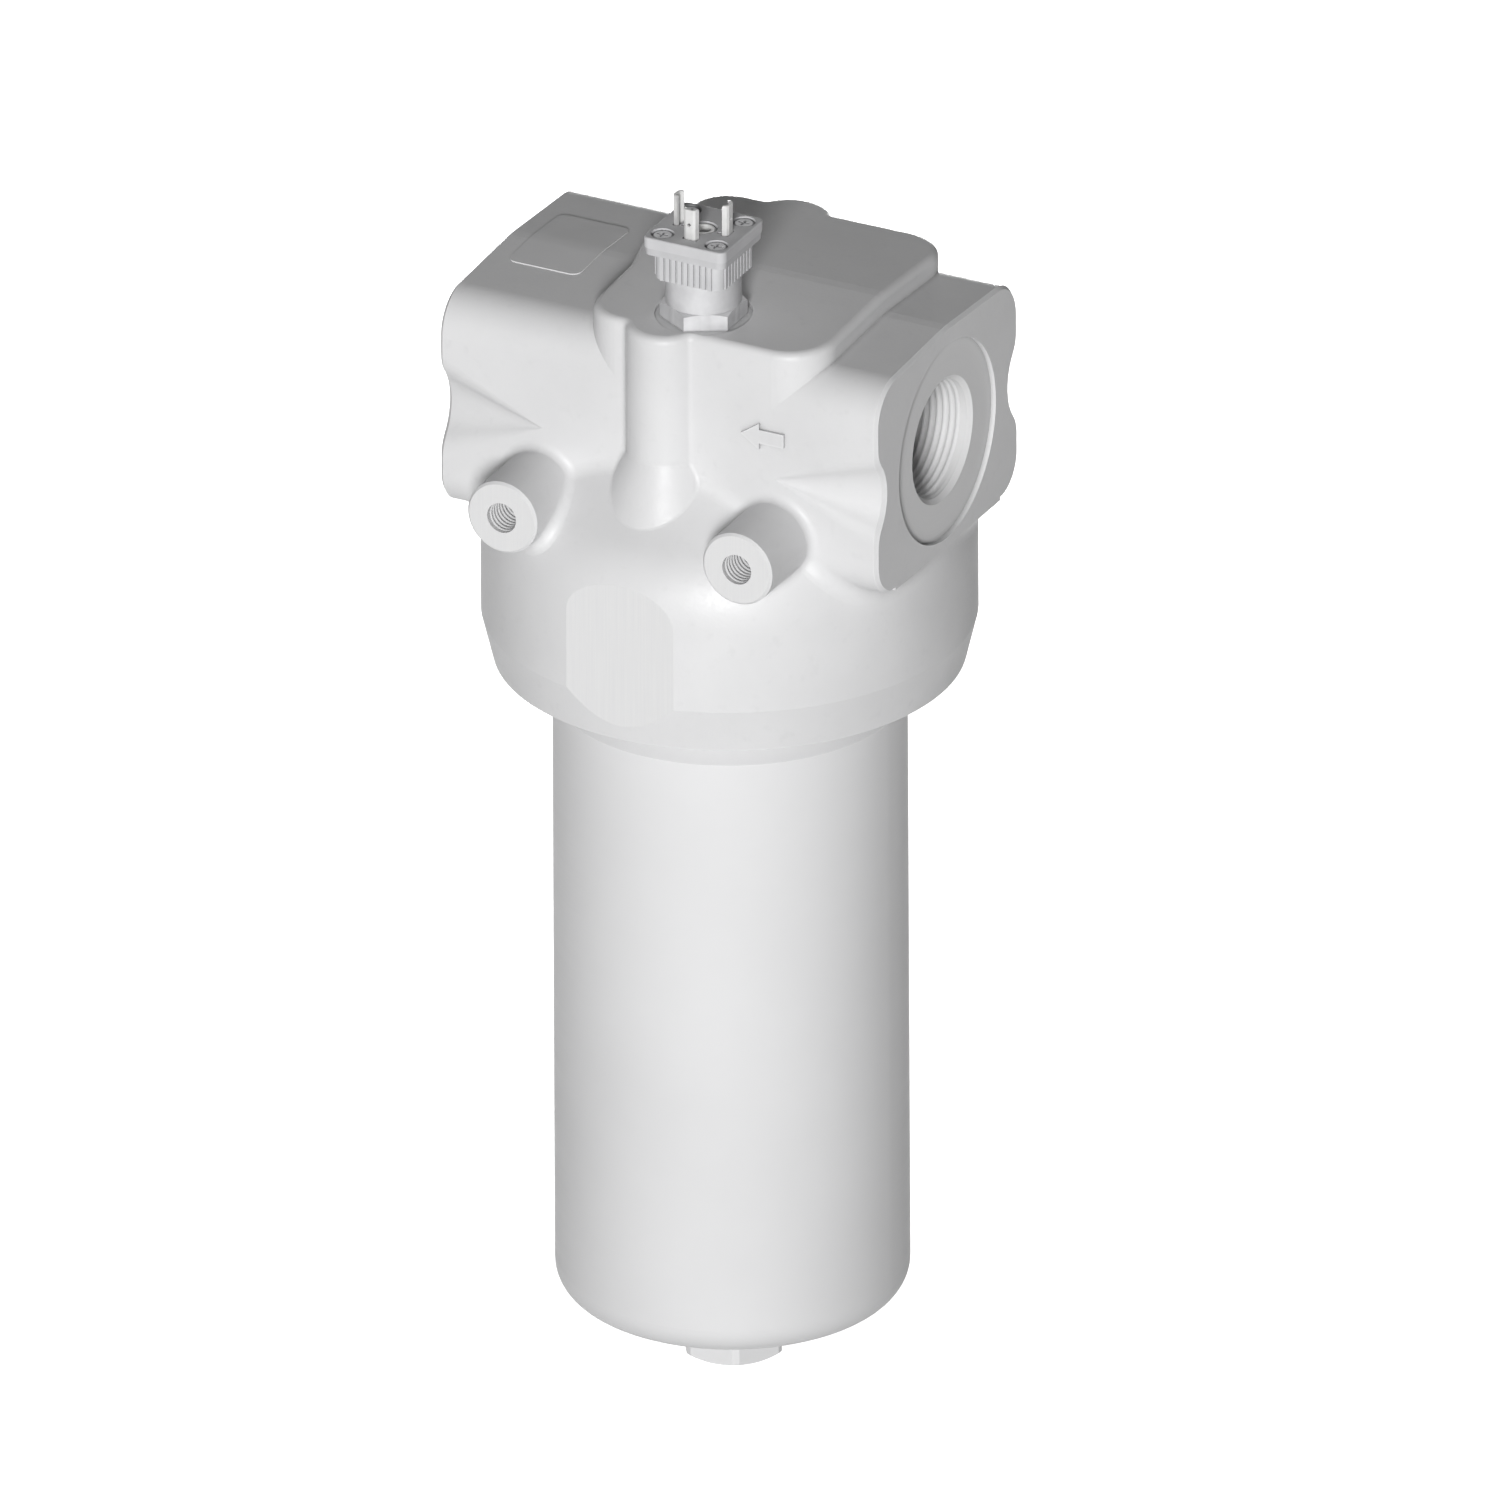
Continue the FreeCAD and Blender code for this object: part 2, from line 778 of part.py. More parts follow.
def add_bowl_socket(body):
    """Hollow under the head: entry chamfer, bowl thread, seal bore and the dirty oil chamber."""
    gap = size("body_gap")
    thread = size("thread_radius") + gap
    seal = size("seal_radius") + gap
    low = size("collar_bottom")
    lead = size("thread_lead")
    points = [
        (0, low - CUT_SPARE),
        (thread + lead, low - CUT_SPARE),
        (thread + lead, low),
        (thread, low + lead),
        (thread, size("thread_top")),
        (seal, size("thread_top") + thread - seal),
        (seal, size("seal_step")),
        (size("chamber_radius"), size("seal_step")),
        (size("chamber_radius"), size("chamber_roof")),
        (0, size("chamber_roof")),
    ]
    turned(body, outline(body, "socket", "XZ_Plane", points), cut=True)


def add_passages(body):
    """Inlet kidney, outlet bore, bypass hole and the drillings of the clogging indicator."""
    inner = size("kidney_inner")
    outer = size("kidney_outer")
    angle = size("kidney_half_angle")
    top = size("kidney_top")
    roof = size("chamber_roof")
    points = [
        (inner * cosine(angle), -inner * sine(angle)),
        (outer * cosine(angle), -outer * sine(angle)),
        (outer * cosine(angle), outer * sine(angle)),
        (inner * cosine(angle), inner * sine(angle)),
    ]
    arcs = {1: (outer, True), 3: (inner, False)}
    kidney = outline(body, "kidney", "XY_Plane", points, arcs, offset=top)
    pocket(body, kidney, top - roof + CUT_SPARE)
    port = size("port_height")
    centre = size("spigot_stem_radius") + size("fit_gap")
    outlet = circles(body, "outlet_drop", "XY_Plane", [(0, 0)], centre, offset=port)
    pocket(body, outlet, port - roof + CUT_SPARE)
    place = [(-size("bypass_offset"), 0)]
    bypass = circles(body, "bypass_hole", "XY_Plane", place, size("bypass_hole_radius"), offset=port)
    pocket(body, bypass, port - roof + CUT_SPARE)
    seat = size("indicator_seat")
    place = [(size("indicator_right"), -size("indicator_front"))]
    spot = circles(body, "indicator_face", "XY_Plane", place, size("indicator_spot_radius"), offset=seat)
    pocket(body, spot, CUT_SPARE, backwards=True)
    hole = circles(body, "indicator_hole", "XY_Plane", place,
                   size("indicator_stem_radius") + size("fit_gap"), offset=seat)
    pocket(body, hole, seat - size("indicator_hole_low"))
    drill = size("pressure_drill_radius")
    dirty = circles(body, "dirty_drilling", "XY_Plane", place, drill, offset=size("indicator_hole_low"))
    pocket(body, dirty, size("indicator_hole_low") - roof + CUT_SPARE)
    level = size("clean_drill_height")
    inset = size("clean_drill_inset")
    cross = circles(body, "clean_drilling", "XZ_Plane", [(size("indicator_right"), level)], drill,
                    offset=inset)
    pocket(body, cross, size("indicator_front") - inset, backwards=True)
    drop = circles(body, "clean_drop", "XY_Plane", [(size("indicator_right"), -inset)], drill,
                   offset=level)
    pocket(body, drop, level - port)


def add_mounting_holes(body):
    """Blind threaded holes in the bosses, whose outer edges are chamfered."""
    half = size("boss_spacing") / 2
    face = axis_offset()
    places = [(-half, 0), (half, 0)]
    holes = circles(body, "boss_hole", "XZ_Plane", places, size("boss_hole_radius"), offset=face)
    pocket(body, holes, size("boss_hole_depth"))

    def on_rim(place):
        across = math.hypot(abs(place.x) - SIZES["boss_spacing"] / 2, place.z)
        return near(across, SIZES["boss_radius"]) and near(place.y, -face.number)

    dress(body, "Chamfer", "boss_edges", size("boss_chamfer"), all_points(on_rim))


def make_head():
    """The cast head: outer form, raised arrow, ports, mounting holes and the hollow inside."""
    head = make_body("filter_head", back=axis_offset())
    add_collar(head)
    add_port_blocks(head)
    add_centre_block(head)
    add_columns(head)
    cut_roof(head)
    dress(head, "Fillet", "wall_foot_round", size("wall_foot_round"),
          all_points(lambda place: on_wall(place) and on_cone(place)))
    dress(head, "Fillet", "jog_round", size("centre_jog_round"), on_jog)
    dress(head, "Fillet", "foot_round", size("column_foot_round"),
          all_points(lambda place: on_foot(place) and on_cone(place)))
    dress(head, "Fillet", "column_round", size("column_side_round"), on_column_side)
    dress(head, "Fillet", "roof_round", size("centre_edge_round"), on_roof_rim)
    add_bosses(head)
    dress(head, "Fillet", "boss_root_round", size("boss_root_round"), all_points(on_boss))
    bevel_port_edges(head)
    add_arrow(head)
    add_port(head, "inlet", 1, size("inlet_end"))
    add_port(head, "outlet", -1, size("outlet_end"))
    add_bowl_socket(head)
    add_passages(head)
    add_mounting_holes(head)
    return head


def turned_piece(label, points, arcs=None, right=0, back=None):
    """A turned part: a closed half outline of radius and height, spun about its upright axis."""
    back = axis_offset() if back is None else back
    body = make_body(label, right=right, back=back)
    turned(body, outline(body, label + "_outline", "XZ_Plane", points, arcs))
    return body


def ring_piece(label, radius, height, section, right=0, back=None):
    """A round-section ring lying flat."""
    back = axis_offset() if back is None else back
    body = make_body(label, right=right, back=back)
    turned(body, circles(body, label + "_section", "XZ_Plane", [(radius, height)], section))
    return body


def make_bowl():
    """The steel bowl: hexagon, rounded bottom, shoulder, thread and the spigot with its groove."""
    radius = size("bowl_radius")
    corner = size("bowl_corner_radius")
    bottom = size("bowl_bottom")
    shoulder = size("bowl_shoulder")
    neck = size("thread_radius")
    spigot = size("seal_radius")
    lead = size("bowl_lead")
    bore = size("bowl_bore_radius")
    inner = size("bowl_bore_corner")
    floor = bottom + size("bowl_floor_thick")
    top = size("seal_step") - size("body_gap")
    thread_end = size("thread_top") - size("body_gap") * 2
    groove_top = size("groove_top")
    groove_low = groove_top - size("groove_width")
    groove_radius = spigot - size("groove_depth")
    points = [
        (0, bottom),
        (radius - corner, bottom),
        (radius, bottom + corner),
        (radius, shoulder),
        (neck, shoulder + radius - neck),
        (neck, thread_end - (neck - spigot)),
        (spigot, thread_end),
        (spigot, groove_low),
        (groove_radius, groove_low),
        (groove_radius, groove_top),
        (spigot, groove_top),
        (spigot, top - lead),
        (spigot - lead, top),
        (bore, top),
        (bore, floor + inner),
        (bore - inner, floor),
        (0, floor),
    ]
    arcs = {1: (corner, True), 14: (inner, False)}
    bowl = turned_piece("filter_bowl", points, arcs)
    flat = size("bowl_hex_flats") / 2
    turn = size("bowl_hex_turned")
    half = root(turn * turn - flat * flat)
    corners = []
    for side in range(6):
        angle = 30 + 60 * side
        for sign in (-1, 1):
            corners.append((
                flat * math.cos(math.radians(angle)) - half * (sign * math.sin(math.radians(angle))),
                flat * math.sin(math.radians(angle)) + half * (sign * math.cos(math.radians(angle))),
            ))
    turns = {2 * side + 1: (turn, True) for side in range(6)}
    hexagon = outline(bowl, "bowl_hexagon", "XY_Plane", corners, turns, offset=bottom)
    pad(bowl, hexagon, size("bowl_hex_high"), backwards=True)
    low = bottom - size("bowl_hex_high")
    reach = size("bowl_hex_bevel_reach")
    rise = reach * tangent(size("bowl_hex_bevel_angle"))
    points = [
        (flat, low),
        (flat, low - CUT_SPARE),
        (flat + reach, low - CUT_SPARE),
        (flat + reach, low + rise),
    ]
    turned(bowl, outline(bowl, "bowl_hexagon_bevel", "XZ_Plane", points), cut=True)
    return bowl


def make_bowl_seals():
    """O-ring and backup ring in the bowl's groove, clear of the groove and of the head."""
    gap = size("body_gap")
    bottom_radius = size("seal_radius") - size("groove_depth")
    inner = bottom_radius + gap
    outer = size("seal_radius")
    low = size("groove_top") - size("groove_width") + gap
    high = low + size("backup_ring_thick")
    points = [(inner, low), (outer, low), (outer, high), (inner, high)]
    backup = turned_piece("bowl_backup_ring", points)
    section = (outer - inner) / 2
    ring = ring_piece("bowl_o_ring", inner + section, high + section + size("fit_gap"), section)
    return [backup, ring]


def make_spigot():
    """Outlet tube under the head, on which the element hangs."""
    roof = size("chamber_roof")
    bore = size("spigot_bore_radius")
    flange = size("spigot_flange_radius")
    stem = size("spigot_stem_radius")
    tube = size("spigot_radius")
    step = roof - size("spigot_flange_thick")
    top = roof + size("spigot_stem_high")
    points = [
        (bore, size("spigot_end")),
        (tube, size("spigot_end")),
        (tube, step),
        (flange, step),
        (flange, roof),
        (stem, roof),
        (stem, top),
        (bore, top),
    ]
    return turned_piece("element_spigot", points)


def make_top_cap():
    """Upper end cap with the neck that slides over the spigot and holds the element's O-ring."""
    bore = size("spigot_radius") + size("body_gap")
    neck = size("element_neck_radius")
    rim = size("element_radius")
    top = size("element_top")
    plate = top - size("element_neck_high")
    under = plate - size("cap_thick")
    low = plate - size("cap_rim")
    inner = rim - size("cap_wall")
    groove_top = top - size("ring_groove_drop")
    groove_low = groove_top - size("ring_groove_high")
    groove = bore + size("ring_groove_depth")
    points = [
        (bore, under),
        (inner, under),
        (inner, low),
        (rim, low),
        (rim, plate),
        (neck, plate),
        (neck, top),
        (bore, top),
        (bore, groove_top),
        (groove, groove_top),
        (groove, groove_low),
        (bore, groove_low),
    ]
    section = size("ring_groove_depth") / 2
    middle = (groove_top + groove_low) / 2
    ring = ring_piece("element_o_ring", bore + section, middle, section)
    return [turned_piece("element_top_cap", points), ring]


def make_bottom_cap():
    """Closed lower end cap with a round foot that stands just above the bowl's floor."""
    low = size("element_bottom")
    plate = low + size("cap_thick")
    rim = size("element_radius")
    inner = rim - size("cap_wall")
    high = low + size("cap_rim")
    foot = size("bowl_bottom") + size("bowl_floor_thick") + size("body_gap")
    foot_outer = size("foot_radius")
    foot_inner = foot_outer - size("foot_wall")
    points = [
        (foot_inner, foot),
        (foot_outer, foot),
        (foot_outer, low),
        (rim, low),
        (rim, high),
        (inner, high),
        (inner, plate),
        (0, plate),
        (0, low),
        (foot_inner, low),
    ]
    return turned_piece("element_bottom_cap", points)


def media_span():
    """Height between the plates of the two end caps, and its lower end."""
    low = SIZES["element_bottom"] + SIZES["cap_thick"]
    high = SIZES["element_top"] - SIZES["element_neck_high"] - SIZES["cap_thick"]
    return low, high


def make_media():
    """Filter fabric folded into a star of pleats."""
    low, high = media_span()
    count = int(SIZES["pleat_count"])
    thick = SIZES["media_thick"]
    outer = SIZES["media_outer"]
    inner = SIZES["media_inner"]

    def star(reach, root_radius):
        spots = []
        for fold in range(2 * count):
            angle = math.pi * fold / count
            radius = reach if fold % 2 == 0 else root_radius
            spots.append(FreeCAD.Vector(radius * math.cos(angle), radius * math.sin(angle), low))
        return Part.makePolygon(spots + spots[:1])

    # The pleat's walls lean by half a pitch over its depth, so a wall of the given thickness
    # shifts the fold lines by that thickness over the sine of the lean.
    lean = math.atan(math.pi * (outer + inner) / (2 * count) / (outer - inner))
    shift = thick / math.sin(lean)
    up = FreeCAD.Vector(0, 0, high - low)
    filled = Part.Face(star(outer, inner + shift)).extrude(up)
    hollow = Part.Face(star(outer - shift, inner)).extrude(up)
    media = doc.addObject("Part::Feature", "pleated_media")
    media.Label = "pleated_media"
    media.Shape = filled.cut(hollow)
    media.Placement.Base = FreeCAD.Vector(0, axis_offset().number, 0)
    return media


def make_core():
    """Support tube inside the pleats, with rows of windows."""
    outer = size("core_radius")
    inner = outer - size("core_wall")
    low = size("element_bottom") + size("cap_thick")
    high = size("element_top") - size("element_neck_high") - size("cap_thick")
    core = turned_piece("core_tube", [(inner, low), (outer, low), (outer, high), (inner, high)])
    rows = int(SIZES["core_rows"])
    pitch = (high - low) / rows
    places = [(Dim(0), low + pitch * (row + 0.5)) for row in range(rows)]
    windows = rectangles(core, "core_windows", "YZ_Plane", places, size("core_window_wide"),
                         size("core_window_high"))
    cut = pocket(core, windows, outer * 2 + CUT_SPARE, both_ways=True)
    doc.recompute()
    turns = int(SIZES["core_columns"]) // 2
    pattern = core.newObject("PartDesign::PolarPattern", "core_window_pattern")
    pattern.Originals = [cut]
    pattern.Axis = (origin_plane(core, "Z_Axis"), [""])
    pattern.Angle = 180 * (turns - 1) / turns
    pattern.Occurrences = turns
    core.Tip = pattern
    return core


def make_spring(label, radius, wire, pitch, low, high, right, back):
    """A coil of wire between two levels about an upright axis, lofted through flat-sided rings."""
    start = low + wire / 2 + SIZES["fit_gap"]
    height = high - low - wire - 2 * SIZES["fit_gap"]
    steps = round(height / pitch * COIL_STEPS)
    rings = []
    for step in range(steps + 1):
        turn = 2 * math.pi * height / pitch * step / steps
        corners = []
        for side in range(COIL_SIDES):
            angle = 2 * math.pi * side / COIL_SIDES
            reach = radius + wire / 2 * math.cos(angle)
            rise = height * step / steps + wire / 2 * math.sin(angle)
            corners.append(FreeCAD.Vector(reach * math.cos(turn), reach * math.sin(turn), rise))
        rings.append(Part.makePolygon(corners + corners[:1]))
    spring = doc.addObject("Part::Feature", label)
    spring.Label = label
    spring.Shape = Part.makeLoft(rings, True, True)
    spring.Placement.Base = FreeCAD.Vector(right, back, start)
    return spring


def make_bypass():
    """Bypass valve: seat ring, cage, poppet and spring, standing in the chamber's roof."""
    right = -size("bypass_offset")
    roof = size("chamber_roof")
    gap = size("body_gap")
    outer = size("bypass_hole_radius") - size("fit_gap")
    bore = size("bypass_seat_bore")
    flange = size("bypass_flange_radius")
    low = roof - size("bypass_flange_thick")
    seat_top = size("bypass_seat_top")
    land = size("bypass_seat_land")
    points = [
        (bore, low),
        (flange, low),
        (flange, roof),
        (outer, roof),
        (outer, seat_top),
        (bore + land, seat_top),
        (bore, seat_top - land),
    ]
    seat = turned_piece("bypass_seat", points, right=right)
    disc = size("bypass_poppet_radius")
    disc_low = seat_top + gap
    disc_top = disc_low + size("bypass_poppet_thick")
    stem = size("bypass_stem_radius")
    nose = bore - gap
    points = [
        (0, disc_low - land * 1.5),
        (nose, disc_low - land * 1.5),
        (nose, disc_low - land),
        (nose + land - gap, disc_low - gap),
        (nose + land - gap, disc_low),
        (disc, disc_low),
        (disc, disc_top),
        (stem, disc_top),
        (stem, size("bypass_stem_top")),
        (0, size("bypass_stem_top")),
    ]
    poppet = turned_piece("bypass_poppet", points, right=right)
    top = size("bypass_cage_top")
    ceiling = top - size("bypass_cage_roof")
    inside = outer - size("bypass_cage_wall")
    guide = stem + gap
    points = [
        (inside, seat_top),
        (outer, seat_top),
        (outer, top),
        (guide, top),
        (guide, ceiling),
        (inside, ceiling),
    ]
    cage = turned_piece("bypass_cage", points, right=right)
    level = size("bypass_window_low") + size("bypass_window_high") / 2
    for role in ("XZ_Plane", "YZ_Plane"):
        window = rectangles(cage, "cage_window_" + role[:2], role, [(Dim(0), level)],
                            size("bypass_window_wide"), size("bypass_window_high"))
        pocket(cage, window, outer * 2 + CUT_SPARE, both_ways=True)
    spring = make_spring("bypass_spring", SIZES["bypass_spring_radius"], SIZES["bypass_spring_wire"],
                         SIZES["bypass_spring_pitch"], disc_top.number, ceiling.number,
                         -SIZES["bypass_offset"], axis_offset().number)
    return [seat, poppet, cage, spring]


def hexagon_points(across_flats, first_corner):
    """Corners of a hexagon of the given width across flats."""
    reach = across_flats / 2 / math.cos(math.radians(30))
    angles = [math.radians(first_corner + 60 * corner) for corner in range(6)]
    return [(reach * math.cos(angle), reach * math.sin(angle)) for angle in angles]


def make_indicator():
    """Clogging indicator: screwed body, seal, piston with magnet and spring, and reed switch."""
    right = size("indicator_right")
    back = axis_offset() - size("indicator_front")
    seat = size("indicator_seat")
    stem = size("indicator_stem_radius")
    neck = size("indicator_neck_radius")
    hex_top = seat + size("indicator_hex_high")
    top = size("housing_low")
    low = size("indicator_stem_low")
    gap = size("body_gap")
    bore = size("piston_bore_radius")
    lip = size("piston_low") - gap
    relief = stem - size("indicator_relief_depth")
    level = size("clean_drill_height")
    ring_half = size("clean_groove_half")
    throat = bore - size("piston_lip")
    points = [
        (throat, low),
        (stem, low),
        (stem, level - ring_half),
        (relief, level - ring_half),
        (relief, level + ring_half),
        (stem, level + ring_half),
        (stem, seat - size("indicator_relief_high")),
        (relief, seat - size("indicator_relief_high")),
        (relief, seat),
        (neck, seat),
        (neck, top),
        (size("switch_bore_radius"), top),
        (size("switch_bore_radius"), size("switch_floor")),
        (0, size("switch_floor")),
        (0, size("piston_bore_top")),
        (bore, size("piston_bore_top")),
        (bore, lip),
        (throat, lip),
    ]
    body = turned_piece("indicator_body", points, right=right, back=back)
    flats = size("indicator_hex_flats")
    hexagon = outline(body, "indicator_hexagon", "XY_Plane", hexagon_points(flats, -90), offset=seat)
    pad(body, hexagon, size("indicator_hex_high"))
    hollow = circles(body, "switch_bore", "XY_Plane", [(0, 0)], size("switch_bore_radius"), offset=top)
    pocket(body, hollow, top - size("switch_floor"))
    bevel = size("indicator_hex_bevel")
    edge = flats / 2 + size("fit_gap")
    points = [
        (edge, hex_top),
        (edge + bevel * 3, hex_top - bevel * 1.5),
        (edge + bevel * 3, hex_top + bevel),
        (edge, hex_top + bevel),
    ]
    cross = circles(body, "clean_hole", "XZ_Plane", [(0, level)], size("clean_hole_radius"))
    pocket(body, cross, stem * 2 + CUT_SPARE, both_ways=True)
    turned(body, outline(body, "hexagon_bevel", "XZ_Plane", points), cut=True)
    section = size("indicator_relief_depth") / 2
    ring = ring_piece("indicator_o_ring", relief + section, seat - size("indicator_relief_high") / 2,
                      section, right=right, back=back)
    piston_low = size("piston_low")
    piston_top = piston_low + size("piston_high")
    skirt = bore - gap
    points = [(0, piston_low), (skirt, piston_low), (skirt, piston_top), (0, piston_top)]
    piston = turned_piece("indicator_piston", points, right=right, back=back)
    magnet_top = piston_top + size("magnet_high")
    wide = size("magnet_radius")
    points = [(0, piston_top), (wide, piston_top), (wide, magnet_top), (0, magnet_top)]
    magnet = turned_piece("indicator_magnet", points, right=right, back=back)
    spring = make_spring("indicator_spring", SIZES["piston_spring_radius"], SIZES["piston_spring_wire"],
                         SIZES["piston_spring_pitch"], piston_top.number, SIZES["piston_bore_top"],
                         right.number, back.number)
    floor = size("switch_floor")
    wide = size("switch_radius")
    end = floor + size("switch_high")
    points = [
        (0, floor),
        (wide / 2, floor),
        (wide, floor + wide / 2),
        (wide, end - wide / 2),
        (wide / 2, end),
        (0, end),
    ]
    arcs = {1: (wide / 2, True), 3: (wide / 2, True)}
    switch = turned_piece("reed_switch", points, arcs, right=right, back=back)
    return [body, ring, piston, magnet, spring, switch]


def square_points(half, corner):
    """A square with rounded corners, and the arcs that round them."""
    inner = half - corner
    points = [
        (-inner, -half),
        (inner, -half),
        (half, -inner),
        (half, inner),
        (inner, half),
        (-inner, half),
        (-half, inner),
        (-half, -inner),
    ]
    return points, {edge: (corner, True) for edge in (1, 3, 5, 7)}


def plug_body(label):
    """A new piece of the plug, standing on the indicator's axis."""
    back = axis_offset() - size("indicator_front")
    return make_body(label, right=size("indicator_right"), back=back)


def screw_places():
    half = size("screw_square") / 2
    return [(half * across, half * along) for across in (-1, 1) for along in (-1, 1)]


def contact_turns():
    """Each contact's name, and how a place on its section turns into a place on the plate. The
    section counts across the contact's face and inwards from it."""
    out = size("contact_out")
    return [
        ("line_contact_left", lambda across, inward: (inward - out, dim(across))),
        ("line_contact_right", lambda across, inward: (out - inward, dim(across))),
        ("earth_contact", lambda across, inward: (dim(across), inward - out)),
    ]


def contact_section():
    """Outer and inner corners of one half of a contact: a strip folded twice on each side."""
    sheet = size("contact_sheet")
    across, inward, heading = size("contact_face") / 2, dim(0), dim(0)
    outer, inner = [(across, inward)], []
    folds = [
        (size("contact_side"), size("contact_side_bend")),
        (size("contact_lip"), size("contact_lip_bend")),
    ]
    for length, bend in folds:
        tuck = tangent(bend / 2)
        inner.append((across - sheet * (sine(heading) + tuck * cosine(heading)),
                      inward + sheet * (cosine(heading) - tuck * sine(heading))))
        heading = heading + bend
        across = across + length * cosine(heading)
        inward = inward + length * sine(heading)
        outer.append((across, inward))
    inner.append((across - sheet * sine(heading), inward + sheet * cosine(heading)))
    return outer, inner


def make_plug():
    """Ribbed moulded housing, gasket, contact plate, screws, insert and contact pins."""
    low = size("housing_low")
    joint = low + size("housing_high")
    plate_low = joint + size("gasket_high")
    top = plate_low + size("plate_high")
    shank = size("screw_shank_radius")
    gap = size("fit_gap")
    bottom = joint - size("screw_grip")

    housing = plug_body("indicator_housing")
    half = size("housing_half")
    plan = outline(housing, "housing_plan", "XY_Plane", *square_points(half, size("housing_round")),
                   offset=low)
    pad(housing, plan, joint - low)
    count = int(SIZES["rib_count"])
    proud = size("rib_proud")
    steps = [size("rib_pitch") * (rib - (count - 1) / 2) for rib in range(count)]
    sides = [(step, side * half) for step in steps for side in (-1, 1)]
    ribs = rectangles(housing, "ribs_front_back", "XY_Plane", sides, size("rib_wide"), proud * 2,
                      offset=low)
    pad(housing, ribs, joint - low)
    sides = [(side * half, step) for step in steps for side in (-1, 1)]
    ribs = rectangles(housing, "ribs_left_right", "XY_Plane", sides, proud * 2, size("rib_wide"),
                      offset=low)
    pad(housing, ribs, joint - low)
    wire_way = circles(housing, "wire_way", "XY_Plane", [(0, 0)], size("wire_way_radius"), offset=joint)
    pocket(housing, wire_way, joint - low)
    holes = circles(housing, "housing_holes", "XY_Plane", screw_places(), shank + gap, offset=joint)
    pocket(housing, holes, size("screw_grip") + gap)

    gasket = plug_body("plug_gasket")
    inset = size("gasket_inset")
    plan = outline(gasket, "gasket_plan", "XY_Plane",
                   *square_points(size("plate_half") - inset, size("plate_round")), offset=joint)
    pad(gasket, plan, size("gasket_high"))
    holes = circles(gasket, "gasket_holes", "XY_Plane", screw_places(), shank + gap, offset=plate_low)
    pocket(gasket, holes, size("gasket_high"))
    hole = circles(gasket, "gasket_middle", "XY_Plane", [(0, 0)], size("wire_way_radius"),
                   offset=plate_low)
    pocket(gasket, hole, size("gasket_high"))

    plate = plug_body("connector_base")
    plan = outline(plate, "plate_plan", "XY_Plane",
                   *square_points(size("plate_half"), size("plate_round")), offset=plate_low)
    pad(plate, plan, size("plate_high"))
    dress(plate, "Fillet", "plate_edge", size("plate_edge_round"),
          all_points(lambda point: near(point.z, top.number)))
    holes = circles(plate, "plate_holes", "XY_Plane", screw_places(), shank + gap, offset=top)
    pocket(plate, holes, size("plate_high"))
    pockets = circles(plate, "plate_pockets", "XY_Plane", screw_places(), size("screw_pocket_radius"),
                      offset=top)
    pocket(plate, pockets, size("screw_pocket_depth"))
    insert_radius = size("insert_radius")
    hole = circles(plate, "insert_hole", "XY_Plane", [(0, 0)], insert_radius + gap, offset=top)
    pocket(plate, hole, size("plate_high"))
    recess = circles(plate, "insert_recess", "XY_Plane", [(0, 0)], size("centre_pocket_radius"),
                     offset=top)
    pocket(plate, recess, size("screw_pocket_depth"))
    places = [(side * size("key_slot_out"), -size("key_slot_front")) for side in (-1, 1)]
    slots = rectangles(plate, "key_slots", "XY_Plane", places, size("key_slot_wide"),
                       size("key_slot_deep"), offset=top)
    pocket(plate, slots, size("screw_pocket_depth"))
    outer, inner = contact_section()
    reach = outer[-1][0] + gap
    depth = inner[-1][1] + gap
    for name, turn in contact_turns():
        corners = [turn(-reach, -gap), turn(reach, -gap), turn(reach, depth), turn(-reach, depth)]
        slot = outline(plate, name + "_slot", "XY_Plane", corners, offset=top)
        pocket(plate, slot, size("contact_root"))

    screws = []
    head_low = top - size("screw_pocket_depth")
    for number, place in enumerate(screw_places(), start=1):
        screws.append(screw_solid(place, bottom, head_low))
    screw_set = doc.addObject("Part::Feature", "plate_screws")
    screw_set.Label = "plate_screws"
    screw_set.Shape = Part.makeCompound(screws)
    screw_set.Placement.Base = FreeCAD.Vector(
        SIZES["indicator_right"], axis_offset().number - SIZES["indicator_front"], 0
    )

    insert = plug_body("centre_insert")
    rim = size("insert_rim_radius")
    eye = size("insert_eye_radius")
    bevel = size("screw_bevel")
    rim_top = head_low + size("screw_high")
    eye_floor = plate_low + size("insert_floor")
    points = [
        (0, plate_low),
        (insert_radius, plate_low),
        (insert_radius, head_low),
        (rim, head_low),
        (rim, rim_top - bevel),
        (rim - bevel, rim_top),
        (eye + bevel, rim_top),
        (eye, rim_top - bevel),
        (eye, eye_floor),
        (0, eye_floor),
    ]
    turned(insert, outline(insert, "insert_outline", "XZ_Plane", points))

    contacts = [make_contact(name, turn, top) for name, turn in contact_turns()]
    return [housing, gasket, plate, screw_set, insert] + contacts


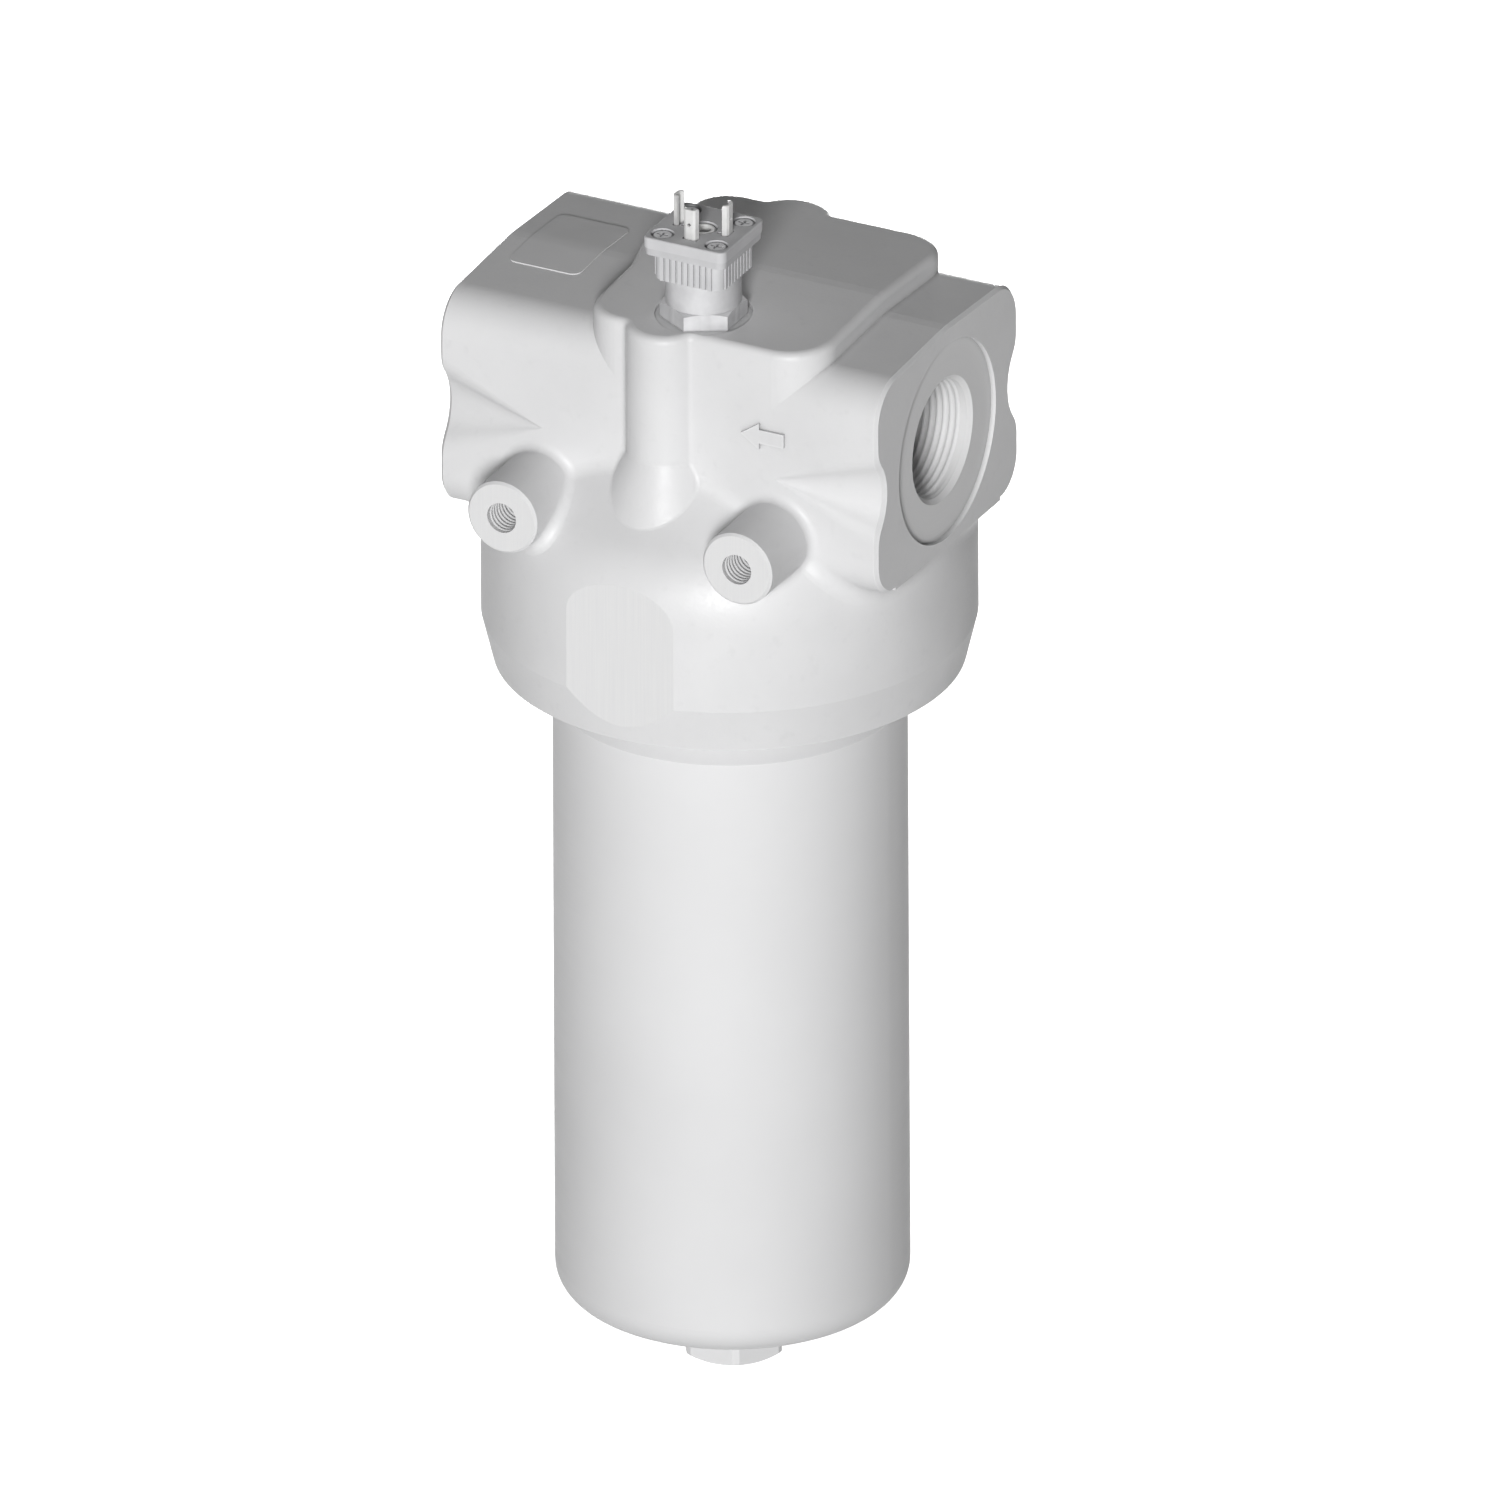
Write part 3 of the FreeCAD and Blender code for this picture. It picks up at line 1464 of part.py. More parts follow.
def screw_solid(place, low, head_low):
    """One screw with a bevelled head and a cross recess."""
    shank, rim, bevel = SIZES["screw_shank_radius"], SIZES["screw_radius"], SIZES["screw_bevel"]
    top = head_low.number + SIZES["screw_high"]
    corners = [
        (0, low.number),
        (shank, low.number),
        (shank, head_low.number),
        (rim, head_low.number),
        (rim, top - bevel),
        (rim - bevel, top),
        (0, top),
    ]
    spots = [FreeCAD.Vector(out, 0, up) for out, up in corners + corners[:1]]
    face = Part.Face(Part.makePolygon(spots))
    screw = face.revolve(FreeCAD.Vector(), FreeCAD.Vector(0, 0, 1), 360)
    long, wide = SIZES["screw_cross_long"], SIZES["screw_cross_wide"]
    floor = top - SIZES["screw_cross_deep"]
    for across, along in ((long, wide), (wide, long)):
        corner = FreeCAD.Vector(-across / 2, -along / 2, floor)
        screw = screw.cut(Part.makeBox(across, along, CUT_SPARE, corner))
    screw.translate(FreeCAD.Vector(place[0].number, place[1].number, 0))
    return screw


def make_contact(name, turn, top):
    """A contact folded from strip, with a small hole in its face, rooted in its slot."""
    contact = plug_body(name)
    outer, inner = contact_section()
    half = outer + inner[::-1]
    whole = half + [(-across, inward) for across, inward in half[::-1]]
    corners = [turn(across, inward) for across, inward in whole]
    plan = outline(contact, name + "_plan", "XY_Plane", corners, offset=top - size("contact_root"))
    pad(contact, plan, size("contact_root") + size("contact_high"))
    role = "XZ_Plane" if name == "earth_contact" else "YZ_Plane"
    level = top + size("contact_high") - size("contact_hole_drop")
    eye = circles(contact, name + "_eye", role, [(0, level)], size("contact_hole_radius"))
    pocket(contact, eye, size("plate_half") * 4, both_ways=True)
    high = top.number + SIZES["contact_high"]
    lip = SIZES["contact_out"] - outer[-1][1].number + NEAR
    dress(contact, "Fillet", name + "_tip", size("contact_tip"), all_points(
        lambda point: near(point.z, high) and max(abs(point.x), abs(point.y)) < lip))
    return contact


def check_object(thing):
    """Stop if a feature failed or a shape is missing or broken."""
    for word in ("Invalid", "Error"):
        if word in thing.State:
            raise RuntimeError("%s is %s" % (thing.Name, word))


def write_parts(pieces):
    for thing in doc.Objects:
        check_object(thing)
    for piece in pieces:
        if piece.Shape.isNull() or not piece.Shape.isValid():
            raise RuntimeError("%s has no good shape" % piece.Label)
    os.makedirs("parts", exist_ok=True)
    for piece in pieces:
        piece.Shape.exportStep("parts/%s.step" % piece.Label)
        box = piece.Shape.BoundBox
        print("%-20s solids %d volume %9.0f z %.1f to %.1f" % (
            piece.Label, len(piece.Shape.Solids), piece.Shape.Volume, box.ZMin, box.ZMax))


pieces = [make_head(), make_bowl()]
pieces += make_bowl_seals()
pieces += [make_spigot()]
pieces += make_top_cap()
pieces += [make_bottom_cap(), make_media(), make_core()]
pieces += make_bypass()
pieces += make_indicator()
pieces += make_plug()
doc.recompute()
write_parts(pieces)
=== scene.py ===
import math

import bmesh
import bpy
import numpy as np
from mathutils import Matrix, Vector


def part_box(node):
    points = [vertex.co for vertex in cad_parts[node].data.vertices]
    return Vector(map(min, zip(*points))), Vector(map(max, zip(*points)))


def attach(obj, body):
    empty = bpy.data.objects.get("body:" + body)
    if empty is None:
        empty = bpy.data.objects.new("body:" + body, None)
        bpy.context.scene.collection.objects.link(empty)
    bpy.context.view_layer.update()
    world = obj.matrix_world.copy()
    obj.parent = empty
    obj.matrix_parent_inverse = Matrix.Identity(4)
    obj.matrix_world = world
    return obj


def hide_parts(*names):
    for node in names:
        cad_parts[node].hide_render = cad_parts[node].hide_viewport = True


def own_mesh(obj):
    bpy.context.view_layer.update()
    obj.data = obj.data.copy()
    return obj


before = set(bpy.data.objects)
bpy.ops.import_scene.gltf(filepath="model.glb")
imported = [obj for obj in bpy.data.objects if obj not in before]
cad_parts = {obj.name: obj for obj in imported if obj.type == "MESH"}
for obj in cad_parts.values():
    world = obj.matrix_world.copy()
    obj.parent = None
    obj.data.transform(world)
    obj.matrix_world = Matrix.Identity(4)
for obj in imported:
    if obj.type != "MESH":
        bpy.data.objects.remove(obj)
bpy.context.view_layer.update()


# The stage: the camera looks down on the filter's right front side without perspective, and its
# view is fitted to the photo's outlines. One soft lamp stands in front and a weak one behind. The
# filter hangs on its two bosses, so the pale floor lies well below it, in a white room.
BOWL_BACK = 0.076
VIEW_AZIMUTH = math.radians(27.18)
VIEW_ELEVATION = math.radians(25.93)
VIEW_ROLL = math.radians(-0.26)
PIXELS = 1500.0
PIXELS_PER_METRE = 3180.0
AXIS_PIXEL = 731.1
LEVEL_PIXEL = 900.0
LEVEL_HEIGHT = -501.1 / PIXELS_PER_METRE
CAMERA_DISTANCE = 2.0
LAMP_AIM = -0.1
ROOM_LIGHT = 0.04
FLOOR_HEIGHT = -0.95
FLOOR_HALF = 9.0
FLOOR_LINES = 9
FLOOR_GLOW = 0.9
FLOOR_GREY = ((0.50, 0.50, 0.50), (0.53, 0.53, 0.53))
WHITE = (1.0, 1.0, 1.0, 1.0)


def bearing(azimuth, elevation):
    """The unit vector towards a bearing, counted from the front to the right, and a height."""
    azimuth, elevation = math.radians(azimuth), math.radians(elevation)
    return np.array([
        math.sin(azimuth) * math.cos(elevation),
        -math.cos(azimuth) * math.cos(elevation),
        math.sin(elevation),
    ])


def stand(name, data, columns, spot):
    """Put a camera or a lamp at a spot, turned so that it looks against its third column."""
    holder = bpy.data.objects.new(name, data)
    turn = Matrix([[float(number) for number in row] for row in np.column_stack(columns)])
    holder.matrix_world = Matrix.Translation([float(number) for number in spot]) @ turn.to_4x4()
    bpy.context.scene.collection.objects.link(holder)
    return holder


back = bearing(math.degrees(VIEW_AZIMUTH), math.degrees(VIEW_ELEVATION))
east = np.array([math.cos(VIEW_AZIMUTH), math.sin(VIEW_AZIMUTH), 0.0])
right = east * math.cos(VIEW_ROLL) + np.cross(back, east) * math.sin(VIEW_ROLL)
up = np.cross(back, right)
middle = np.array([0.0, BOWL_BACK, LEVEL_HEIGHT])
middle = middle + right * (PIXELS / 2 - AXIS_PIXEL) / PIXELS_PER_METRE
middle = middle - up * (PIXELS / 2 - LEVEL_PIXEL) / PIXELS_PER_METRE
lens = bpy.data.cameras.new("photo_camera")
lens.type = "ORTHO"
lens.ortho_scale = PIXELS / PIXELS_PER_METRE
lens.clip_start = 0.05
lens.clip_end = 30.0
spot = middle + back * CAMERA_DISTANCE
bpy.context.scene.camera = stand("photo_camera", lens, (right, up, back), spot)
bpy.context.scene.view_settings.view_transform = "Standard"


def softbox(name, azimuth, elevation, power, width, distance=6.0):
    """A square area lamp at a bearing and height about the filter, turned to face it."""
    away = bearing(azimuth, elevation)
    side = np.array([math.cos(math.radians(azimuth)), math.sin(math.radians(azimuth)), 0.0])
    lamp = bpy.data.lights.new(name, "AREA")
    lamp.shape = "SQUARE"
    lamp.size = width
    lamp.energy = power
    aim = np.array([0.0, BOWL_BACK, LAMP_AIM])
    return stand(name, lamp, (side, np.cross(away, side), away), aim + away * distance)


softbox("front_softbox", azimuth=21.0, elevation=16.0, power=374.0, width=1.2)
softbox("rear_softbox", azimuth=207.0, elevation=-8.0, power=55.0, width=0.8, distance=3.0)


def seen_straight(tree):
    """1 for a ray from the camera, from gloss or through glass, 0 for soft light."""
    path = tree.nodes.new("ShaderNodeLightPath")
    seen = path.outputs["Is Camera Ray"]
    for name in ("Is Glossy Ray", "Is Transmission Ray"):
        either = tree.nodes.new("ShaderNodeMath")
        either.operation = "MAXIMUM"
        tree.links.new(seen, either.inputs[0])
        tree.links.new(path.outputs[name], either.inputs[1])
        seen = either.outputs[0]
    return seen


room = bpy.data.worlds.new("white_room")
bpy.context.scene.world = room
room.use_nodes = True
tree = room.node_tree
tree.nodes.clear()
room_light = tree.nodes.new("ShaderNodeBackground")
room_light.inputs["Strength"].default_value = ROOM_LIGHT
room_white = tree.nodes.new("ShaderNodeBackground")
room_white.inputs["Strength"].default_value = 1.0
for background in (room_light, room_white):
    background.inputs["Color"].default_value = WHITE
choose = tree.nodes.new("ShaderNodeMixShader")
tree.links.new(seen_straight(tree), choose.inputs[0])
tree.links.new(room_light.outputs[0], choose.inputs[1])
tree.links.new(room_white.outputs[0], choose.inputs[2])
tree.links.new(choose.outputs[0], tree.nodes.new("ShaderNodeOutputWorld").inputs["Surface"])


class Finish:
    """A node material on one Principled shader, with noise and bump worked out in object space."""

    def __init__(self, name, metallic=0.0, specular=0.25):
        self.material = bpy.data.materials.new(name)
        self.material.use_nodes = True
        self.tree = self.material.node_tree
        self.shader = self.tree.nodes["Principled BSDF"]
        self.shader.inputs["Metallic"].default_value = metallic
        self.shader.inputs["Specular IOR Level"].default_value = specular
        self.space = self.tree.nodes.new("ShaderNodeTexCoord").outputs["Object"]
        self.relief = None

    def node(self, kind, **settings):
        """A new node of a kind with its settings."""
        made = self.tree.nodes.new("ShaderNode" + kind)
        for key, value in settings.items():
            setattr(made, key, value)
        return made

    def link(self, start, end):
        """Join an output to an input, or write a number or a row of numbers into the input."""
        if isinstance(start, bpy.types.NodeSocket):
            self.tree.links.new(start, end)
        else:
            end.default_value = start

    def math(self, operation, first, second=0.0):
        """The result of one sum or comparison of two values."""
        made = self.node("Math", operation=operation)
        self.link(first, made.inputs[0])
        self.link(second, made.inputs[1])
        return made.outputs[0]

    def noise(self, scale, detail=4.0, stretch=(1.0, 1.0, 1.0), space=None):
        """Cloudy noise of the given cells a metre, finer along an axis whose stretch is over 1."""
        mapping = self.node("Mapping")
        mapping.inputs["Scale"].default_value = stretch
        self.link(self.space if space is None else space, mapping.inputs["Vector"])
        made = self.node("TexNoise")
        made.inputs["Scale"].default_value = scale
        made.inputs["Detail"].default_value = detail
        self.link(mapping.outputs["Vector"], made.inputs["Vector"])
        return made.outputs["Fac"]

    def ramp(self, value, low, high, start=0.3, stop=0.7):
        """Two colours or greys blended between two levels of a value."""
        made = self.node("ValToRGB")
        made.color_ramp.elements[0].position = start
        made.color_ramp.elements[1].position = stop
        for element, tint in zip(made.color_ramp.elements, (low, high)):
            tint = tint if isinstance(tint, tuple) else (tint, tint, tint)
            element.color = tint + (1.0,)
        self.link(value, made.inputs["Fac"])
        return made.outputs["Color"]

    def blend(self, share, first, second):
        """The first colour where the share is 0, the second where it is 1."""
        made = self.node("Mix", data_type="RGBA")
        self.link(share, made.inputs[0])
        self.link(first, made.inputs[6])
        self.link(second, made.inputs[7])
        return made.outputs[2]

    def from_axis(self, place, keep):
        """Distance from a line through a place: the length of the way to it in two directions."""
        moved = self.node("VectorMath", operation="SUBTRACT")
        self.link(self.space, moved.inputs[0])
        moved.inputs[1].default_value = place
        flat = self.node("VectorMath", operation="MULTIPLY")
        self.link(moved.outputs["Vector"], flat.inputs[0])
        flat.inputs[1].default_value = keep
        length = self.node("VectorMath", operation="LENGTH")
        self.link(flat.outputs["Vector"], length.inputs[0])
        return length.outputs["Value"]

    def corners(self, distance, dark):
        """1 on open surface and dark in inner corners within a distance: painted shade where the
        surroundings close in and hold back light.
        """
        closed = self.node("AmbientOcclusion", samples=4, only_local=False)
        closed.inputs["Distance"].default_value = distance
        return self.ramp(closed.outputs["AO"], dark, 1.0, 0.30, 0.85)

    def multiply(self, first, second):
        """Two colours multiplied with each other."""
        made = self.node("Mix", data_type="RGBA", blend_type="MULTIPLY")
        made.inputs[0].default_value = 1.0
        self.link(first, made.inputs[6])
        self.link(second, made.inputs[7])
        return made.outputs[2]

    def colour(self, value):
        """Set the surface's colour."""
        self.link(value, self.shader.inputs["Base Color"])

    def roughness(self, value):
        """Set the surface's roughness, from 0 for a mirror to 1 for chalk."""
        self.link(value, self.shader.inputs["Roughness"])

    def edges(self, radius):
        """1 along edges and 0 on plain surface, from how far a rounded normal leaves the true one."""
        rounded = self.node("Bevel", samples=4)
        rounded.inputs["Radius"].default_value = radius
        along = self.node("VectorMath", operation="DOT_PRODUCT")
        self.link(rounded.outputs["Normal"], along.inputs[0])
        self.link(self.node("NewGeometry").outputs["Normal"], along.inputs[1])
        return self.ramp(along.outputs["Value"], 1.0, 0.0, 0.90, 0.99)

    def bump(self, value, depth, strength=1.0):
        """Add one layer of relief of the given depth in metres."""
        made = self.node("Bump")
        made.inputs["Distance"].default_value = depth
        made.inputs["Strength"].default_value = strength
        self.link(value, made.inputs["Height"])
        if self.relief is not None:
            self.link(self.relief, made.inputs["Normal"])
        self.relief = made.outputs["Normal"]
        self.link(self.relief, self.shader.inputs["Normal"])


def new_object(name, corners, faces, sharp=30.0):
    """A mesh object from an array of corners and a list of faces, standing at the origin, with its
    edges sharp above an angle in degrees. Its faces are all turned to one side. That is the outer
    one on every closed piece but the inlet thread, which comes out with its faces inwards."""
    mesh = bpy.data.meshes.new(name)
    mesh.from_pydata(np.asarray(corners, dtype=float).tolist(), [], faces)
    work = bmesh.new()
    work.from_mesh(mesh)
    bmesh.ops.recalc_face_normals(work, faces=work.faces)
    work.to_mesh(mesh)
    work.free()
    mesh.polygons.foreach_set("use_smooth", [True] * len(mesh.polygons))
    mesh.set_sharp_from_angle(angle=math.radians(sharp))
    piece = bpy.data.objects.new(name, mesh)
    bpy.context.scene.collection.objects.link(piece)
    return piece


def grid_faces(rows, columns, closed=False):
    """The four-cornered faces between neighbouring points of a grid. Where the grid is closed, the
    last point of each row is the first one's neighbour."""
    near = np.arange(rows * columns).reshape(rows, columns)
    beyond = np.roll(near, -1, axis=1)
    if not closed:
        near, beyond = near[:, :-1], beyond[:, :-1]
    return np.stack([near[:-1], beyond[:-1], beyond[1:], near[1:]], axis=2).reshape(-1, 4)


def paint(piece, finish):
    """Put one finish on a piece and, for a shape from the frame, on all its material places."""
    if not piece.material_slots:
        piece.data.materials.append(finish)
    for place in piece.material_slots:
        place.material = finish


def floor_finish():
    """Pale matt paint. What looks at it straight sees it near white, and shadows stay on it."""
    matt = Finish("floor_paint", specular=0.1)
    matt.colour(matt.ramp(matt.noise(3.0, 3.0), *FLOOR_GREY))
    matt.roughness(matt.ramp(matt.noise(40.0, 2.0), 0.85, 0.95))
    glow = matt.node("Emission")
    glow.inputs["Color"].default_value = WHITE
    matt.link(matt.math("MULTIPLY", seen_straight(matt.tree), FLOOR_GLOW), glow.inputs["Strength"])
    both = matt.node("AddShader")
    matt.link(matt.shader.outputs[0], both.inputs[0])
    matt.link(glow.outputs[0], both.inputs[1])
    matt.link(both.outputs[0], matt.tree.nodes["Material Output"].inputs["Surface"])
    return matt.material


line = np.linspace(-FLOOR_HALF, FLOOR_HALF, FLOOR_LINES)
across, along = np.meshgrid(line, line)
spots = np.column_stack([across.ravel(), along.ravel(), np.full(across.size, FLOOR_HEIGHT)])
floor = new_object("floor", spots, grid_faces(FLOOR_LINES, FLOOR_LINES).tolist())
paint(floor, floor_finish())


# The head is one sand casting in spheroidal iron, shot-blasted and painted light grey. Its port
# faces, bores, boss ends and the flat of its collar are machined after that, and finer.
PORT_HEIGHT = 0.0197
PORT_FACE = 0.0753
SPOTFACE = 0.0335
PORT_CORE = 0.019475
PORT_MOUTH = 0.021
FLAT_DEPTH = 0.00005
CAST_GREY = ((0.61, 0.61, 0.615), (0.66, 0.66, 0.665))
CAST_SPECK = (0.54, 0.54, 0.545, 1.0)
# A paler grey along the head's edges: partly paint rubbed thin, partly a painted highlight.
CAST_WORN_HIGHLIGHT = (0.72, 0.72, 0.725, 1.0)
BARE_GREY = ((0.63, 0.63, 0.635), (0.655, 0.655, 0.655))
WEAR_HIGHLIGHT_RADIUS = 0.0012
# How far the painted shade reaches into the inner corners of the head and the bowl.
CORNER_SHADE_REACH = 0.0022


def cast_finish():
    """Light grey with faint clouds, a shot-blasted grain, edges paled by wear and by a painted
    highlight, and painted shade in inner corners. A place is machined where it is near a port's axis
    and face,
    or in the mounting plane: there the grain gives way to fine rings or lines."""
    cast = Finish("painted_casting", specular=0.35)
    axes = cast.node("SeparateXYZ")
    cast.link(cast.space, axes.inputs[0])
    outward = cast.math("ABSOLUTE", axes.outputs["X"])
    from_port = cast.from_axis((0.0, BOWL_BACK, PORT_HEIGHT), (0.0, 1.0, 1.0))
    face = cast.math("MULTIPLY", cast.math("GREATER_THAN", outward, PORT_FACE),
                     cast.math("LESS_THAN", from_port, SPOTFACE))
    bore = cast.math("LESS_THAN", from_port, PORT_MOUTH)
    flat = cast.math("LESS_THAN", axes.outputs["Y"], FLAT_DEPTH)
    machined = cast.math("MAXIMUM", cast.math("MAXIMUM", face, bore), flat)
    cloud = cast.noise(26.0, 5.0)
    grain = cast.noise(850.0, 3.0)
    speck = cast.noise(240.0, 6.0)
    speckled = cast.blend(cast.ramp(speck, 0.0, 0.22, 0.60, 0.74), cast.ramp(cloud, *CAST_GREY),
                          CAST_SPECK)
    # Edges turn paler in patches: wear and a painted highlight together.
    worn_highlight = cast.math("MULTIPLY", cast.edges(WEAR_HIGHLIGHT_RADIUS), cast.ramp(speck, 0.15, 0.85))
    speckled = cast.blend(worn_highlight, speckled, CAST_WORN_HIGHLIGHT)
    rings = cast.node("CombineXYZ")
    cast.link(from_port, rings.inputs["X"])
    cast.link(cast.math("MULTIPLY", axes.outputs["Z"], 0.2), rings.inputs["Z"])
    tool_rings = cast.noise(1900.0, 2.0, stretch=(1.0, 1.0, 0.02), space=rings.outputs["Vector"])
    tool_lines = cast.noise(1800.0, 2.0, stretch=(1.0, 1.0, 0.015))
    tool = cast.blend(flat, tool_rings, tool_lines)
    grey = cast.blend(machined, speckled, cast.ramp(tool, *BARE_GREY))
    # The grey is darkened in inner corners by painted shade.
    cast.colour(cast.multiply(grey, cast.corners(CORNER_SHADE_REACH, 0.5)))
    cast.roughness(cast.blend(machined, cast.ramp(grain, 0.38, 0.50),
                              cast.ramp(tool, 0.34, 0.46)))
    rough = cast.math("SUBTRACT", 1.0, machined)
    cast.bump(cast.math("MULTIPLY", grain, rough), 0.00009, 0.4)
    cast.bump(cast.math("MULTIPLY", cast.noise(130.0, 3.0), rough), 0.0003, 0.16)
    cast.bump(cast.math("MULTIPLY", tool, machined), 0.00001, 0.2)
    return cast.material


painted_casting = cast_finish()
paint(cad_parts["filter_head"], painted_casting)


# The threads cut in the ports and in the bosses: a one and a quarter inch pipe thread and an M12
# thread, tapped into the casting.
PORT_START = 0.0732
PORT_PITCH = 0.002309
PORT_LENGTH = 0.0224
PORT_RIDGE = 0.00045
BOSS_SIDE = 0.0415
BOSS_HOLE = 0.0051
BOSS_START = 0.0012
BOSS_PITCH = 0.00175
BOSS_LENGTH = 0.0185
BOSS_RIDGE = 0.0003
RIDGE_STEPS = 56
RIDGE_SUNK = 0.0001


def swept(name, spots):
    """A closed bar through rings of corners, with a flat face over its first and its last ring."""
    count, sides = spots.shape[:2]
    ends = [tuple(range(sides)), tuple(range((count - 1) * sides, count * sides))]
    faces = grid_faces(count, sides, closed=True).tolist() + ends
    return new_object(name, spots.reshape(-1, 3), faces)


def thread_ridge(name, start, along, side, radius, pitch, length, height):
    """The ridge between a thread's turns. A point goes round the axis and one pitch forward each
    turn, and carries a trapezium that stands on the wall by the height, inwards if that is below
    0. The ridge rises from the wall in its first half turn and sinks back in its last."""
    turns = length / pitch
    angle = np.linspace(0.0, 2.0 * math.pi * turns, int(turns * RIDGE_STEPS) + 1)
    rise = np.clip(np.minimum(angle, angle[-1] - angle) / math.pi, 0.0, 1.0)
    offsets = np.array([-0.42, -0.10, 0.10, 0.42]) * pitch
    tops = np.array([0.0, 1.0, 1.0, 0.0])
    sink = math.copysign(RIDGE_SUNK, height)
    out = radius - sink * (1.0 - tops)[None, :] + height * tops[None, :] * rise[:, None]
    out = out - sink * tops[None, :] * (1.0 - rise[:, None])
    forward = angle[:, None] * pitch / (2.0 * math.pi) + offsets[None, :]
    along, side = np.array(along, float), np.array(side, float)
    other = np.cross(along, side)
    around = (np.cos(angle)[:, None, None] * side + np.sin(angle)[:, None, None] * other)
    spots = np.array(start, float) + forward[:, :, None] * along + out[:, :, None] * around
    return swept(name, spots)


for name, way in (("inlet_thread", 1.0), ("outlet_thread", -1.0)):
    mouth = (way * PORT_START, BOWL_BACK, PORT_HEIGHT)
    turned = thread_ridge(name, mouth, (-way, 0.0, 0.0), (0.0, 1.0, 0.0), PORT_CORE, PORT_PITCH,
                          PORT_LENGTH, -PORT_RIDGE)
    paint(turned, painted_casting)
    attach(turned, "head")
for name, way in (("right_boss_thread", 1.0), ("left_boss_thread", -1.0)):
    mouth = (way * BOSS_SIDE, BOSS_START, 0.0)
    tapped = thread_ridge(name, mouth, (0.0, 1.0, 0.0), (0.0, 0.0, 1.0), BOSS_HOLE, BOSS_PITCH,
                          BOSS_LENGTH, -BOSS_RIDGE)
    paint(tapped, painted_casting)
    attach(tapped, "head")


# A bare label field on the roof of the left port block: a thin blank foil with rounded corners,
# pressed down over the roof's ridge.
ROOF_RIDGE = 0.0594
RIDGE_HALF = 0.002
ROOF_SLOPE = math.radians(3.1)
LABEL_CENTRE = (-0.0567, BOWL_BACK + 0.0011)
LABEL_HALF_WIDE = 0.0125
LABEL_HALF_LONG = 0.0187
LABEL_CORNER = 0.003
LABEL_THICK = 0.00035
LABEL_GREY = ((0.64, 0.64, 0.645), (0.67, 0.67, 0.675))


def label_foil():
    """Rows across the foil, each as wide as the rounded outline is there, on two levels: the
    foil's top, which follows the roof's ridge and slopes, and its underside sunk in the roof."""
    centre_x, centre_y = LABEL_CENTRE
    straight = LABEL_HALF_LONG - LABEL_CORNER
    bend = np.sin(np.linspace(0.0, math.pi / 2.0, 7)) * LABEL_CORNER + straight
    run = np.linspace(0.0, straight, 9)[:-1]
    ridge = np.array([BOWL_BACK - RIDGE_HALF, BOWL_BACK + RIDGE_HALF]) - centre_y
    rows = np.unique(np.concatenate([-bend, -run, run, bend, ridge]))
    past = np.maximum(np.abs(rows) - straight, 0.0)
    arc = np.sqrt(np.maximum(LABEL_CORNER ** 2 - past ** 2, 0.0))
    wide = LABEL_HALF_WIDE - LABEL_CORNER + arc
    plan_x = centre_x + wide[:, None] * np.linspace(-1.0, 1.0, 9)[None, :]
    plan_y = np.broadcast_to(centre_y + rows[:, None], plan_x.shape)
    fall = np.maximum(np.abs(plan_y - BOWL_BACK) - RIDGE_HALF, 0.0) * math.tan(ROOF_SLOPE)
    levels = [np.stack([plan_x, plan_y, ROOF_RIDGE - fall + lift], axis=2)
              for lift in (LABEL_THICK, -LABEL_THICK)]
    spots = np.concatenate([level.reshape(-1, 3) for level in levels])
    index = np.arange(plan_x.size).reshape(plan_x.shape)
    cells = grid_faces(*plan_x.shape)
    rim = np.concatenate([index[0, :-1], index[:-1, -1], index[-1, :0:-1], index[:0:-1, 0]])
    beyond = np.roll(rim, -1)
    skirt = np.column_stack([rim, rim + index.size, beyond + index.size, beyond])
    faces = np.concatenate([cells, cells[:, ::-1] + index.size, skirt]).tolist()
    return new_object("label_field", spots, faces)


def foil_finish():
    """Blank satin foil, a touch smoother than the paint round it, with faint handling marks."""
    foil = Finish("blank_foil")
    foil.colour(foil.ramp(foil.noise(60.0, 4.0), *LABEL_GREY))
    marks = foil.noise(350.0, 6.0, stretch=(0.3, 1.0, 1.0))
    foil.roughness(foil.ramp(marks, 0.36, 0.48))
    foil.bump(marks, 0.00002, 0.3)
    return foil.material


label = label_foil()
paint(label, foil_finish())
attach(label, "head")


# The bowl is a deep steel cup, turned outside and painted, with a hexagon under it to unscrew it.
# A fine thread on its neck holds it in the head.
NECK_RADIUS = 0.052
NECK_LOW = -0.0665
NECK_PITCH = 0.002
NECK_LENGTH = 0.022
NECK_RIDGE = 0.00025
BOWL_GREY = ((0.62, 0.62, 0.625), (0.66, 0.66, 0.665))
# A paler grey along the bowl's edges: partly paint rubbed thin, partly a painted highlight.
BOWL_WORN_HIGHLIGHT = (0.73, 0.73, 0.735, 1.0)
BOWL_WEAR_HIGHLIGHT_RADIUS = 0.001


